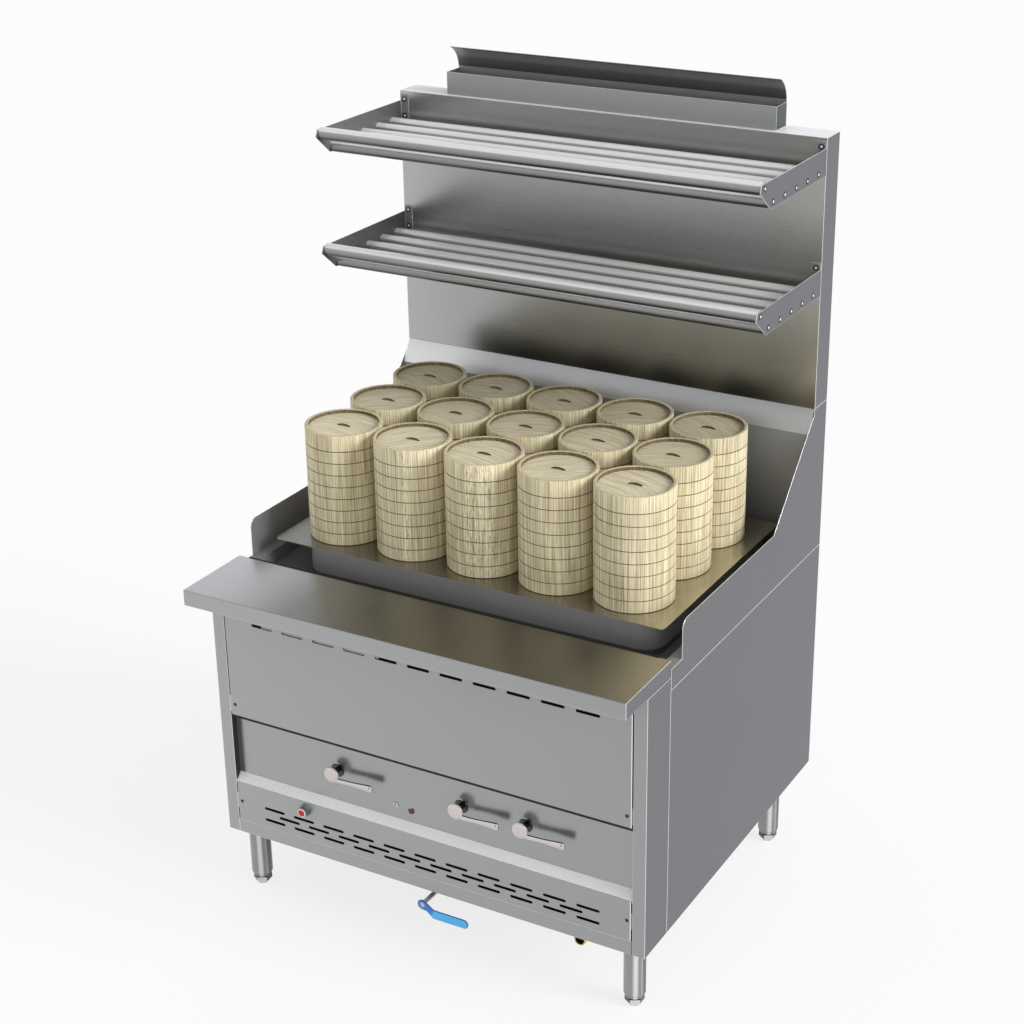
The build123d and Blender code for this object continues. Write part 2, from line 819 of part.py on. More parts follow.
# Burners: cast bars fed through a narrow throat, each hung from the tank by a strap
burner_start_y = valve_front_y + valve_length
burner_end_y = burner_start_y + burner_length
with BuildPart() as burners:
    with BuildSketch(facing(burner_end_y)):
        with Locations(*[(x, valve_height) for x in valve_x]):
            Rectangle(burner_bar, burner_bar)
    extrude(amount=burner_length - burner_throat_length)
    with BuildSketch(facing(burner_start_y + burner_throat_length)):
        with Locations(*[(x, valve_height) for x in valve_x]):
            Rectangle(burner_throat, burner_throat)
    extrude(amount=burner_throat_length)
    with BuildSketch(level(valve_height)):
        with Locations(*[(x, burner_end_y - burner_strap_inset) for x in valve_x]):
            Rectangle(burner_strap_width, frame_thickness)
    extrude(amount=tank_bottom - valve_height)
save(burners, "burners")

# Valve handles: a round cap on a spindle, with a lever that widens to its end
for handle_name, handle_x in zip(("left", "middle", "right"), valve_x):
    cap_front_y = control_y - handle_reach
    cap_back_y = cap_front_y + handle_cap_thickness
    blade_y = cap_back_y - (handle_cap_thickness - handle_thickness) / 2
    blade_start = handle_cap / 2 - handle_root / 2
    with BuildPart() as handle:
        with BuildSketch(facing(cap_back_y)):
            with Locations((handle_x, valve_height)):
                Circle(handle_cap / 2)
        extrude(amount=handle_cap_thickness)
        with BuildSketch(facing(cap_back_y)):
            with Locations((handle_x, valve_height)):
                Circle(handle_stem / 2)
        extrude(amount=cap_back_y - valve_front_y + running_gap)
        with BuildSketch(facing(blade_y)):
            with BuildLine():
                Polyline(
                    (handle_x + blade_start, valve_height),
                    (handle_x + blade_start, valve_height - handle_root),
                    (handle_x + handle_length, valve_height - handle_drop - handle_tip / 2),
                    (handle_x + handle_length, valve_height - handle_drop + handle_tip / 2),
                    (handle_x + handle_length * 0.6, valve_height - handle_root / 2),
                    close=True,
                )
            make_face()
        extrude(amount=handle_thickness)
        tip_edges = handle.edges().filter_by(Axis.Y).group_by(Axis.X)[-1]
        chamfer(tip_edges, handle_tip / 4)
    save(handle, f"{handle_name}_valve_handle")

# Ignition button and the bezel it slides in
with BuildPart() as button_bezel:
    with BuildSketch(facing(front_y)):
        with Locations((button_x, button_height)):
            Circle(bezel_diameter / 2)
            Circle(button_cap / 2 + running_gap, mode=Mode.SUBTRACT)
    extrude(amount=bezel_reach)
save(button_bezel, "button_bezel")

with BuildPart() as red_button:
    with BuildSketch(facing(front_y + bezel_reach)):
        with Locations((button_x, button_height)):
            Circle(button_cap / 2)
    extrude(amount=2 * bezel_reach + button_travel + button_stand)
    chamfer(red_button.edges().filter_by(GeomType.CIRCLE).sort_by(Axis.Y)[0], sheet)
save(red_button, "red_button")

# Indicator lamp: a domed lens on the control panel
with BuildPart() as indicator_lamp:
    with BuildSketch(facing(control_y)):
        with Locations((lamp_x, lamp_height)):
            Circle(lamp_diameter / 2)
    extrude(amount=lamp_reach, taper=20)
save(indicator_lamp, "indicator_lamp")

# Pilot sight: a small round boss beside the lamp
with BuildPart() as pilot_sight:
    with BuildSketch(facing(control_y)):
        with Locations((sight_x, sight_height)):
            Circle(sight_diameter / 2)
    extrude(amount=sight_reach)
save(pilot_sight, "pilot_sight")

# Drain valve: ball valve under the cabinet, on a pipe down from the tank's front wall
drain_y = front_y + drain_setback
tank_front_y = plate_front_y + tank_inset
drain_tap_z = tank_bottom + drain_tap_height
body_bottom = drain_valve_height - drain_body / 2
outlet_bottom = drain_valve_height - drain_outlet
with BuildPart() as drain_valve:
    with BuildSketch(Plane((drain_x, drain_y, outlet_bottom))):
        Circle(manifold_pipe / 2)
    extrude(amount=drain_tap_z - outlet_bottom)
    with BuildSketch(looking_back(drain_x, drain_y, drain_tap_z)):
        Circle(manifold_pipe / 2)
    extrude(amount=tank_front_y - drain_y)
    with BuildSketch(Plane((drain_x, drain_y, body_bottom))):
        RegularPolygon(drain_body / 2, 8, major_radius=False, rotation=22.5)
    extrude(amount=drain_body)
    with BuildSketch(Plane((drain_x, drain_y, outlet_bottom))):
        Circle(manifold_pipe / 2 - pipe_wall)
    extrude(amount=drain_outlet - lever_stem, mode=Mode.SUBTRACT)
save(drain_valve, "drain_valve")

# Drain lever: a stem forward from the valve and a cranked flat lever on its end
hub_y = front_y + lever_setback
stem_end_y = drain_y - drain_body / 2 - running_gap
with BuildPart() as drain_lever:
    with BuildSketch(facing(hub_y + lever_thickness)):
        with Locations((drain_x, drain_valve_height)):
            Circle(lever_hub / 2)
        with BuildLine():
            Polyline(
                (drain_x, drain_valve_height + lever_neck / 2),
                (drain_x, drain_valve_height - lever_neck / 2),
                (drain_x + lever_bend_start, drain_valve_height - lever_drop - lever_width / 2),
                (drain_x + lever_bend_start, drain_valve_height - lever_drop + lever_width / 2),
                close=True,
            )
        make_face()
        lever_blade = lever_length - lever_bend_start
        with Locations((drain_x + lever_bend_start + lever_blade / 2, drain_valve_height - lever_drop)):
            SlotOverall(lever_blade, lever_width)
        with Locations((drain_x + lever_bend_start + lever_width / 4, drain_valve_height - lever_drop)):
            Rectangle(lever_width / 2, lever_width)
    extrude(amount=lever_thickness)
    with BuildSketch(facing(hub_y + lever_thickness)):
        with Locations((drain_x, drain_valve_height)):
            Circle(lever_stem / 2)
    extrude(amount=hub_y + lever_thickness - stem_end_y)
save(drain_lever, "drain_lever")

# Fill spout: a small bent pipe over the front of the well
spout_y = deck_front_y + sheet
with BuildPart() as fill_spout:
    with BuildSketch(looking_back(spout_x, spout_y, spout_height)):
        Circle(spout_pipe / 2)
    extrude(amount=spout_reach)
    with BuildSketch(Plane((spout_x, spout_y + spout_reach - spout_pipe / 2, spout_height))):
        Circle(spout_pipe / 2)
    extrude(amount=-spout_bend)
save(fill_spout, "fill_spout")
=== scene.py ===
import bmesh
import bpy
import math
from mathutils import Matrix, Vector


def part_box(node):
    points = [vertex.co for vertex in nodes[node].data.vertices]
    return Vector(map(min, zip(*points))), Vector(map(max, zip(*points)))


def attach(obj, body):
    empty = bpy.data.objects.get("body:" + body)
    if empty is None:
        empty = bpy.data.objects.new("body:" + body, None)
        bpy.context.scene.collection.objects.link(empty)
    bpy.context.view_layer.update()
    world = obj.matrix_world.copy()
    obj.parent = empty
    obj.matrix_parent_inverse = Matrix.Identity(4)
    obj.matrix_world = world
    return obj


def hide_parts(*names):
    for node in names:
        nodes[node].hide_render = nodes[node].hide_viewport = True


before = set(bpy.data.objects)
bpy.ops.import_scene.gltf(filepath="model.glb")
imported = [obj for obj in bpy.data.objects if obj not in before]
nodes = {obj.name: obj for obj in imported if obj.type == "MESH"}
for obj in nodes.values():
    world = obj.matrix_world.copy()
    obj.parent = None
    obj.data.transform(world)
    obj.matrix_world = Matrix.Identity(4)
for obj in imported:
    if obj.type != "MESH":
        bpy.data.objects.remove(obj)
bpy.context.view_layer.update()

# Base frame: angle welded into a rectangle with a plate over each leg, in
# unpolished stainless. It is the first thing made, and everything else is
# fixed to it. The sheet finish worked out here is used by all the steel.


def paint(red, green, blue):
    """A colour as it is read off a screen, from 0 to 255, turned into light."""
    shares = [value / 255 for value in (red, green, blue)]
    return [((c + 0.055) / 1.055) ** 2.4 if c > 0.04 else c / 12.92 for c in shares] + [1.0]


def shader_group(name, inputs, outputs):
    """An empty node group for materials, with its sockets, and its two end nodes."""
    group = bpy.data.node_groups.new(name, "ShaderNodeTree")
    kinds = {"colour": "NodeSocketColor", "number": "NodeSocketFloat", "vector": "NodeSocketVector"}
    for socket, kind in inputs:
        group.interface.new_socket(name=socket, in_out="INPUT", socket_type=kinds[kind])
    for socket, kind in outputs:
        group.interface.new_socket(name=socket, in_out="OUTPUT", socket_type=kinds[kind])
    return group, group.nodes.new("NodeGroupInput"), group.nodes.new("NodeGroupOutput")


def wire(tree, *pairs):
    """Join each pair of an output and an input."""
    for source, target in pairs:
        tree.links.new(source, target)


def sum_node(tree, operation, first, second, clamp=False):
    """One step of arithmetic on two values, each a number or another node's output."""
    made = tree.nodes.new("ShaderNodeMath")
    made.operation = operation
    made.use_clamp = clamp
    for place, value in enumerate((first, second)):
        if isinstance(value, (int, float)):
            made.inputs[place].default_value = value
        else:
            tree.links.new(value, made.inputs[place])
    return made.outputs[0]


def noise_node(tree, place, scale, detail=3.0, roughness=0.55):
    """A noise read at a place, from 0 to 1."""
    made = tree.nodes.new("ShaderNodeTexNoise")
    made.inputs["Scale"].default_value = scale
    made.inputs["Detail"].default_value = detail
    made.inputs["Roughness"].default_value = roughness
    tree.links.new(place, made.inputs["Vector"])
    return made.outputs["Fac"]


def swing(tree, noise, depth):
    """A noise turned into a change to either side of nothing, as deep as it is told."""
    return sum_node(tree, "MULTIPLY", sum_node(tree, "SUBTRACT", noise, 0.5), depth)


def vector_node(tree, operation, first, second):
    """One step of arithmetic on a vector: the second value is fixed or another node's output."""
    made = tree.nodes.new("ShaderNodeVectorMath")
    made.operation = operation
    tree.links.new(first, made.inputs[0])
    target = made.inputs["Scale" if operation == "SCALE" else 1]
    if hasattr(second, "is_output"):
        tree.links.new(second, target)
    else:
        target.default_value = second
    return made.outputs["Value" if operation == "DOT_PRODUCT" else "Vector"]


def spread_node(tree, value, low, high, to_low=0.0, to_high=1.0, soft=False):
    """A value spread from one range over another and held at its ends."""
    made = tree.nodes.new("ShaderNodeMapRange")
    made.interpolation_type = "SMOOTHSTEP" if soft else "LINEAR"
    for socket, number in (("From Min", low), ("From Max", high), ("To Min", to_low), ("To Max", to_high)):
        made.inputs[socket].default_value = number
    tree.links.new(value, made.inputs["Value"])
    return made.outputs["Result"]


def colour_ramp(tree, share, stops):
    """A colour that runs through the stops, each a place from 0 to 1 and its light."""
    ramp = tree.nodes.new("ShaderNodeValToRGB")
    elements = ramp.color_ramp.elements
    while len(elements) < len(stops):
        elements.new(0.5)
    if len(stops) == 1:
        stops = [stops[0], (1.0, stops[0][1])]
    for element, (position, light) in zip(elements, stops):
        element.position = position
        element.color = light
    tree.links.new(share, ramp.inputs["Fac"])
    return ramp.outputs["Color"]


def new_finish(name):
    """An empty material, with its tree and its shader."""
    material = bpy.data.materials.new(name)
    material.use_nodes = True
    return material, material.node_tree, material.node_tree.nodes["Principled BSDF"]


def brushed_group():
    """Brush lines, cloudy rolling marks and hand marks, for every sheet of steel."""
    group, given, result = shader_group(
        "brushed_steel",
        [("Colour", "colour"), ("Brushing", "vector"), ("Line Depth", "number"), ("Cloud Depth", "number"),
         ("Roughness", "number"), ("Smears", "number")],
        [("Colour", "colour"), ("Roughness", "number"), ("Height", "number")])
    place = group.nodes.new("ShaderNodeTexCoord").outputs["Object"]
    stretched = vector_node(group, "MULTIPLY", place, given.outputs["Brushing"])
    lines = noise_node(group, stretched, 1.0, 4.0, 0.65)
    clouds = noise_node(group, place, 3.2, 2.0, 0.5)
    smears = noise_node(group, place, 14.0, 5.0, 0.7)
    line_part = swing(group, lines, given.outputs["Line Depth"])
    cloud_part = swing(group, clouds, given.outputs["Cloud Depth"])
    smear_part = swing(group, smears, given.outputs["Smears"])
    shade = sum_node(group, "ADD", sum_node(group, "ADD", line_part, cloud_part), 1.0)
    tinted = vector_node(group, "SCALE", given.outputs["Colour"], shade)
    rough = sum_node(group, "ADD", given.outputs["Roughness"], sum_node(group, "MULTIPLY", line_part, 0.5))
    wire(group, (tinted, result.inputs["Colour"]),
         (sum_node(group, "ADD", rough, smear_part, clamp=True), result.inputs["Roughness"]),
         (lines, result.inputs["Height"]))
    return group


brushed = brushed_group()


def steel(name, stops, along=(1, 0, 0), span=(-0.5, 0.5), facing=None, brushing=(6, 700, 700), lines=0.10,
          clouds=0.06, roughness=0.42, smears=0.10, metal=0.6, bump=0.12, waver=0.0, painted_dark_band=None):
    """Brushed steel, its colours laid along one direction or painted as light and shade by where a face looks,
    with a painted dark band at one height.
    """
    material, tree, shader = new_finish(name)
    place = tree.nodes.new("ShaderNodeTexCoord").outputs["Normal" if facing else "Object"]
    reach = vector_node(tree, "DOT_PRODUCT", place, facing or along)
    if waver:
        reach = sum_node(tree, "ADD", reach, swing(tree, noise_node(tree, place, 2.6, 2.0), waver))
    share = spread_node(tree, reach, *((-1, 1) if facing else span))
    colour = colour_ramp(tree, share, [(position, paint(*tone)) for position, tone in stops])
    if painted_dark_band:
        middle, reach_up, least, start = painted_dark_band
        split = tree.nodes.new("ShaderNodeSeparateXYZ")
        tree.links.new(place, split.inputs[0])
        height = sum_node(tree, "ABSOLUTE", sum_node(tree, "SUBTRACT", split.outputs["Z"], middle), 0.0)
        near = spread_node(tree, height, 0.0, reach_up, 1.0 - least, 0.0, soft=True)
        begins = spread_node(tree, reach, start, start + 0.16, soft=True)
        band_shade = sum_node(tree, "MULTIPLY", near, begins)
        colour = vector_node(tree, "SCALE", colour, sum_node(tree, "SUBTRACT", 1.0, band_shade))
    finish = tree.nodes.new("ShaderNodeGroup")
    finish.node_tree = brushed
    finish.inputs["Brushing"].default_value = brushing
    finish.inputs["Line Depth"].default_value = lines
    finish.inputs["Cloud Depth"].default_value = clouds
    finish.inputs["Roughness"].default_value = roughness
    finish.inputs["Smears"].default_value = smears
    grain = tree.nodes.new("ShaderNodeBump")
    grain.inputs["Strength"].default_value = bump
    grain.inputs["Distance"].default_value = 0.0004
    wire(tree, (colour, finish.inputs["Colour"]), (finish.outputs["Colour"], shader.inputs["Base Color"]),
         (finish.outputs["Roughness"], shader.inputs["Roughness"]),
         (finish.outputs["Height"], grain.inputs["Height"]),
         (grain.outputs["Normal"], shader.inputs["Normal"]))
    shader.inputs["Metallic"].default_value = metal
    return material


def fit(piece, body, finishes, record_slot, *stands_for):
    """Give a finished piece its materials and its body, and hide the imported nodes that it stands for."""
    for finish in finishes:
        piece.data.materials.append(finish)
    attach(piece, body)
    if stands_for:
        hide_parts(*stands_for)


def new_piece(name, shape, smooth_below=38):
    """A piece from a bmesh, its faces turned outwards and shaded smooth below an angle."""
    bmesh.ops.recalc_face_normals(shape, faces=shape.faces)
    mesh = bpy.data.meshes.new(name)
    shape.to_mesh(mesh)
    shape.free()
    mesh.polygons.foreach_set("use_smooth", [True] * len(mesh.polygons))
    mesh.set_sharp_from_angle(angle=math.radians(smooth_below))
    piece = bpy.data.objects.new(name, mesh)
    bpy.context.scene.collection.objects.link(piece)
    return piece


def folded(node, fold=0.0006, steps=2, pick=None, highlight_index=-1):
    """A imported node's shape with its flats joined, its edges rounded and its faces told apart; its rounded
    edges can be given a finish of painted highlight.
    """
    source = nodes[node].data
    shape = bmesh.new()
    for vertex in source.vertices:
        shape.verts.new(vertex.co)
    shape.verts.ensure_lookup_table()
    for polygon in source.polygons:
        corners = [shape.verts[index] for index in polygon.vertices]
        if len(set(corners)) == 3 and not shape.faces.get(corners):
            shape.faces.new(corners)
    bmesh.ops.remove_doubles(shape, verts=shape.verts, dist=0.00001)
    bmesh.ops.dissolve_limit(shape, angle_limit=math.radians(0.5), verts=shape.verts, edges=shape.edges)
    piece = new_piece(node + "_sheet", shape)
    if pick:
        for polygon in piece.data.polygons:
            polygon.material_index = pick(polygon.normal, polygon.center)
    rounding = piece.modifiers.new("rounding", "BEVEL")
    rounding.width = fold
    rounding.segments = steps
    rounding.limit_method = "ANGLE"
    rounding.angle_limit = math.radians(40)
    rounding.harden_normals = True
    rounding.material = highlight_index
    return piece


mill_steel = steel("mill_steel", [(0.0, (120, 121, 123))], brushing=(300, 40, 300), lines=0.22, clouds=0.2,
                   roughness=0.5)
fit(folded("base_frame", 0.0008), "cabinet", [mill_steel], "sheet", "base_frame")

# Legs: four round stainless tubes welded to the frame's plates. Each ends in a
# pressed insert that steps in twice, with a dark line where it meets the tube.


def turned(shape, profile, centre, axis="Z", sides=48):
    """Add a lathe-turned solid: the profile gives radius and distance along the axis."""
    rings = []
    for radius, along in profile:
        ring = []
        for step in range(sides if radius > 0.00001 else 1):
            angle = 2 * math.pi * step / sides
            a, b = radius * math.cos(angle), radius * math.sin(angle)
            offset = {"Z": (a, b, along), "-Y": (a, -along, b), "X": (along, a, b)}[axis]
            ring.append(shape.verts.new(Vector(centre) + Vector(offset)))
        rings.append(ring)
    made = []
    for low, high in zip(rings, rings[1:]):
        for step in range(sides):
            after = (step + 1) % sides
            corners = [low[step % len(low)], low[after % len(low)], high[after % len(high)],
                       high[step % len(high)]]
            kept = [c for i, c in enumerate(corners) if c not in corners[:i]]
            if len(kept) > 2:
                made.append(shape.faces.new(kept))
    for ring in (rings[0], rings[-1]):
        if len(ring) > 2:
            made.append(shape.faces.new(ring))
    return made


base_front_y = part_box("base_rail")[0].y
base_back_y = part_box("back_panel")[1].y
leg_places = [(x, y) for y in (base_front_y + 0.0493, base_back_y - 0.1325) for x in (-0.487, 0.487)]
leg_radius = 0.02415
insert_radius = 0.0214
leg_profile = [
    (insert_radius - 0.0030, 0.0236), (insert_radius - 0.0006, 0.0236), (insert_radius, 0.0248),
    (insert_radius, 0.0290), (insert_radius - 0.0012, 0.0296), (insert_radius - 0.0012, 0.0304),
    (leg_radius - 0.0016, 0.0306), (leg_radius, 0.0330), (leg_radius, 0.1590), (leg_radius, 0.1600),
]
leg_shape = bmesh.new()
for leg_x, leg_y in leg_places:
    for face in turned(leg_shape, leg_profile, (leg_x, leg_y, 0)):
        height = face.calc_center_median().z
        face.material_index = 1 if 0.0293 < height < 0.0305 or height < 0.0247 else 0
# The legs are painted by where a face looks round the tube: a white highlight between darker edges, as painted
# light and shade.
leg_painted_highlights = [
    (0.0, (84, 86, 88)), (0.03, (150, 152, 152)), (0.36, (148, 150, 150)), (0.46, (216, 217, 217)),
    (0.56, (218, 219, 219)), (0.66, (134, 135, 137)), (0.74, (132, 133, 135)), (0.80, (166, 167, 169)),
    (0.87, (88, 89, 92)), (1.0, (62, 63, 66)),
]
polished_leg = steel("polished_leg", leg_painted_highlights, facing=(0.876, 0.482, 0),
                     brushing=(300, 300, 8), lines=0.05, clouds=0.04, roughness=0.30, smears=0.03, metal=0.45,
                     bump=0.03)
dark_gap = steel("dark_gap", [(0.0, (30, 30, 31))], lines=0.3, roughness=0.6, metal=0.2)
fit(new_piece("leg_tubes", leg_shape), "cabinet", [polished_leg, dark_gap], "polished_tube", "legs")

# Levelling feet: stainless hexagon bullets, turned by hand to level the
# cabinet. Each is one machined piece with a stem that goes up into its leg.


def lofted(shape, sections, capped=True):
    """Add a skin over closed loops that have the same number of points."""
    rings = [[shape.verts.new(point) for point in section] for section in sections]
    made = []
    for low, high in zip(rings, rings[1:]):
        for step in range(len(low)):
            after = (step + 1) % len(low)
            made.append(shape.faces.new((low[step], low[after], high[after], high[step])))
    if capped:
        made.append(shape.faces.new(rings[0]))
        made.append(shape.faces.new(rings[-1]))
    return made


def hexagon(centre, across_flats, height):
    """Six corners of a hexagon that lies flat at this height."""
    reach = across_flats / 2 / math.cos(math.radians(30))
    turns = [math.radians(60 * corner + 30) for corner in range(6)]
    return [(centre[0] + reach * math.cos(a), centre[1] + reach * math.sin(a), height) for a in turns]


# The feet are painted by where a face looks round: a bright band as painted highlight, darker elsewhere.
foot_steel_painted_highlight = steel("foot_steel_painted_highlight", [(0.0, (84, 86, 89)), (0.36, (90, 91, 94)), (0.47, (206, 207, 208)),
                                  (0.53, (208, 209, 210)), (0.64, (92, 93, 96)), (1.0, (70, 71, 74))],
                   facing=(0.876, 0.482, 0), brushing=(60, 60, 300), lines=0.05,
                   roughness=0.3, metal=0.45, bump=0.03)
foot_rings = [(0.0215, 0.0), (0.0225, 0.0006), (0.0370, 0.0112), (0.0374, 0.0126), (0.0374, 0.0206),
              (0.0362, 0.0218)]
foot_names = ("front_left", "front_right", "back_left", "back_right")
for foot_name, (foot_x, foot_y) in zip(foot_names, leg_places):
    foot_shape = bmesh.new()
    for face in lofted(foot_shape, [hexagon((foot_x, foot_y), flats, height) for flats, height in foot_rings]):
        face.material_index = 1 if face.calc_center_median().z > 0.0207 else 0
    turned(foot_shape, [(0.0080, 0.0236), (0.0080, 0.0833), (0.0074, 0.0840)], (foot_x, foot_y, 0), sides=24)
    foot = new_piece(f"foot_{foot_name}", foot_shape, 25)
    fit(foot, f"levelling_foot_{foot_name}", [foot_steel_painted_highlight, dark_gap], "polished_tube",
        f"levelling_foot_{foot_name}")

# Corner posts, side panels, splash guards, back panel and base rail: stainless
# sheet cut and folded on a press, spot-welded together. Brushed along their
# length outside, with the side faces painted darker than the front as shade;
# the faces inside are dull and painted near black as shade.

front_steel = steel("front_steel", [(0.0, (172, 174, 173)), (1.0, (161, 163, 162))], brushing=(9, 900, 900),
                    lines=0.07, clouds=0.03, roughness=0.46, smears=0.05, metal=0.45)
# Side faces: the front's steel painted darker as shade. Inside faces: painted near black as shade.
side_steel_painted_shade = steel("side_steel_painted_shade", [(0.0, (98, 99, 103))], brushing=(900, 9, 900), lines=0.06, clouds=0.03,
                   roughness=0.48, smears=0.05, metal=0.45)
inside_painted_shade = steel("inside_painted_shade", [(0.0, (44, 44, 44))], brushing=(60, 60, 60), lines=0.3, clouds=0.4,
                     roughness=0.7, metal=0.2)
# Painted highlight: near white, for the rounded edges of the sheets.
painted_edge_highlight = steel("painted_edge_highlight", [(0.0, (238, 239, 240))], brushing=(200, 200, 200), lines=0.12,
                    roughness=0.25, metal=0.7)


def outside_or_in(normal, centre):
    """Which finish a cabinet sheet's face has: front, side painted as shade, inside painted as shade, or edge
    painted as highlight.
    """
    middle_y = (base_front_y + base_back_y) / 2
    if abs(normal.x) > 0.8:
        return 1 if normal.x * centre.x > 0 else 2
    if abs(normal.y) > 0.8:
        return 0 if normal.y * (centre.y - middle_y) > 0 else 2
    return 3


sheet_finishes = [front_steel, side_steel_painted_shade, inside_painted_shade, painted_edge_highlight]
for side in ("left", "right"):
    fit(folded(f"{side}_corner_post", 0.0013, pick=outside_or_in, highlight_index=3), "cabinet", sheet_finishes, "sheet",
        f"{side}_corner_post")
    fit(folded(f"{side}_side_panel", pick=outside_or_in, highlight_index=3), "cabinet", sheet_finishes, "sheet",
        f"{side}_side_panel")
fit(folded("back_panel", pick=outside_or_in), "cabinet", sheet_finishes, "sheet", "back_panel")
fit(folded("base_rail", 0.0011, pick=outside_or_in, highlight_index=3), "cabinet", sheet_finishes, "sheet", "base_rail")

# The guards' inside faces are painted lighter than their outside faces, as light.
guard_inside_painted_light = steel("guard_inside_painted_light", [(0.0, (142, 143, 145))], brushing=(900, 9, 900), lines=0.08,
                     roughness=0.45, metal=0.2)


def guard_faces(normal, centre):
    """A splash guard is brushed on both sides, its inside painted lighter than its outside as light, with a
    painted highlight on its cut edge.
    """
    if abs(normal.x) > 0.8:
        return 0 if normal.x * centre.x > 0 else 1
    return 2


for side in ("left", "right"):
    fit(folded(f"{side}_splash_guard", pick=guard_faces, highlight_index=2), "cabinet",
        [side_steel_painted_shade, guard_inside_painted_light, painted_edge_highlight], "sheet", f"{side}_splash_guard")

# Front panels: flat stainless sheet with rows of punched slots for the
# burners' air, set between the posts. The lower one also has the button's hole.


def geometry_tree(name, sizes):
    """An empty geometry tree with named inputs for its sizes, and its two end nodes."""
    tree = bpy.data.node_groups.new(name, "GeometryNodeTree")
    kinds = {"number": "NodeSocketFloat", "count": "NodeSocketInt", "vector": "NodeSocketVector",
             "finish": "NodeSocketMaterial"}
    tree.interface.new_socket(name="Places", in_out="INPUT", socket_type="NodeSocketGeometry")
    for size, kind in sizes:
        tree.interface.new_socket(name=size, in_out="INPUT", socket_type=kinds[kind])
    tree.interface.new_socket(name="Piece", in_out="OUTPUT", socket_type="NodeSocketGeometry")
    return tree, tree.nodes.new("NodeGroupInput").outputs, tree.nodes.new("NodeGroupOutput")


def step(tree, kind, feeds=(), **settings):
    """One node of a geometry tree: its settings, then what feeds its inputs."""
    made = tree.nodes.new("GeometryNode" + kind if not kind.startswith(("Shader", "Function")) else kind)
    for setting, value in settings.items():
        setattr(made, setting, value)
    for socket, source in dict(feeds).items():
        if hasattr(source, "is_output"):
            tree.links.new(source, made.inputs[socket])
        else:
            made.inputs[socket].default_value = source
    return made


def joined(tree, *parts):
    """Several geometries as one."""
    made = tree.nodes.new("GeometryNodeJoinGeometry")
    for part in parts:
        tree.links.new(part, made.inputs[0])
    return made.outputs[0]


def grown(name, tree, places, sizes, facing=None, smooth_below=38):
    """The plain mesh that a tree makes on these places."""
    mesh = bpy.data.meshes.new(name + "_places")
    mesh.from_pydata(places, [], [])
    if facing:
        directions = mesh.attributes.new("facing", "FLOAT_VECTOR", "POINT")
        for index, direction in enumerate(facing):
            directions.data[index].vector = direction
    piece = bpy.data.objects.new(name, mesh)
    bpy.context.scene.collection.objects.link(piece)
    growth = piece.modifiers.new("growth", "NODES")
    growth.node_group = tree
    for socket in tree.interface.items_tree:
        if socket.in_out == "INPUT" and socket.name in sizes:
            growth[socket.identifier] = sizes[socket.name]
    bpy.context.view_layer.update()
    result = bpy.data.meshes.new_from_object(piece.evaluated_get(bpy.context.evaluated_depsgraph_get()))
    piece.modifiers.clear()
    shape = bmesh.new()
    shape.from_mesh(result)
    bmesh.ops.remove_doubles(shape, verts=shape.verts, dist=0.000002)
    bmesh.ops.recalc_face_normals(shape, faces=shape.faces)
    shape.to_mesh(result)
    shape.free()
    result.name = name
    piece.data = result
    result.polygons.foreach_set("use_smooth", [True] * len(result.polygons))
    result.set_sharp_from_angle(angle=math.radians(smooth_below))
    return piece


slotted_sheet, given, result = geometry_tree("slotted_sheet", [
    ("Width", "number"), ("Height", "number"), ("Thickness", "number"), ("Slot Length", "number"),
    ("Slot Width", "number"), ("Hole Radius", "number"), ("Hole Place", "vector"), ("Sheet Place", "vector"),
    ("Outside", "finish"), ("Inside", "finish")])
outline = step(slotted_sheet, "CurvePrimitiveQuadrilateral",
               {"Width": given["Width"], "Height": given["Height"]})
slot_box = step(slotted_sheet, "CurvePrimitiveQuadrilateral",
                {"Width": given["Slot Length"], "Height": given["Slot Width"]})
half_slot = step(slotted_sheet, "ShaderNodeMath", {0: given["Slot Width"], 1: 0.496}, operation="MULTIPLY")
slot_line = step(slotted_sheet, "FilletCurve", {"Curve": slot_box.outputs[0], "Radius": half_slot.outputs[0],
                                                "Count": 6}, mode="POLY")
slots = step(slotted_sheet, "InstanceOnPoints", {"Points": given["Places"], "Instance": slot_line.outputs[0]})
slots = step(slotted_sheet, "RealizeInstances", {"Geometry": slots.outputs[0]})
hole = step(slotted_sheet, "CurvePrimitiveCircle", {"Resolution": 40, "Radius": given["Hole Radius"]},
            mode="RADIUS")
hole = step(slotted_sheet, "Transform",
            {"Geometry": hole.outputs["Curve"], "Translation": given["Hole Place"]})
has_hole = step(slotted_sheet, "FunctionNodeCompare", {0: given["Hole Radius"], 1: 0.001},
                operation="GREATER_THAN")
hole = step(slotted_sheet, "Switch", {"Switch": has_hole.outputs[0], "True": hole.outputs[0]})
flat = step(slotted_sheet, "FillCurve",
            {"Curve": joined(slotted_sheet, outline.outputs[0], slots.outputs[0], hole.outputs[0])})
back = step(slotted_sheet, "FlipFaces", {"Mesh": flat.outputs[0]})
front = step(slotted_sheet, "ExtrudeMesh", {"Mesh": flat.outputs[0], "Offset Scale": given["Thickness"],
                                            "Individual": False})
whole = step(slotted_sheet, "MergeByDistance",
             {"Geometry": joined(slotted_sheet, front.outputs[0], back.outputs[0]), "Distance": 0.00001})
upright = step(slotted_sheet, "Transform", {"Geometry": whole.outputs[0],
                                            "Rotation": (math.radians(90), 0, 0),
                                            "Translation": given["Sheet Place"]})
upright = step(slotted_sheet, "RealizeInstances", {"Geometry": upright.outputs[0]})
normal = step(slotted_sheet, "InputNormal")
split = step(slotted_sheet, "ShaderNodeSeparateXYZ", {0: normal.outputs[0]})
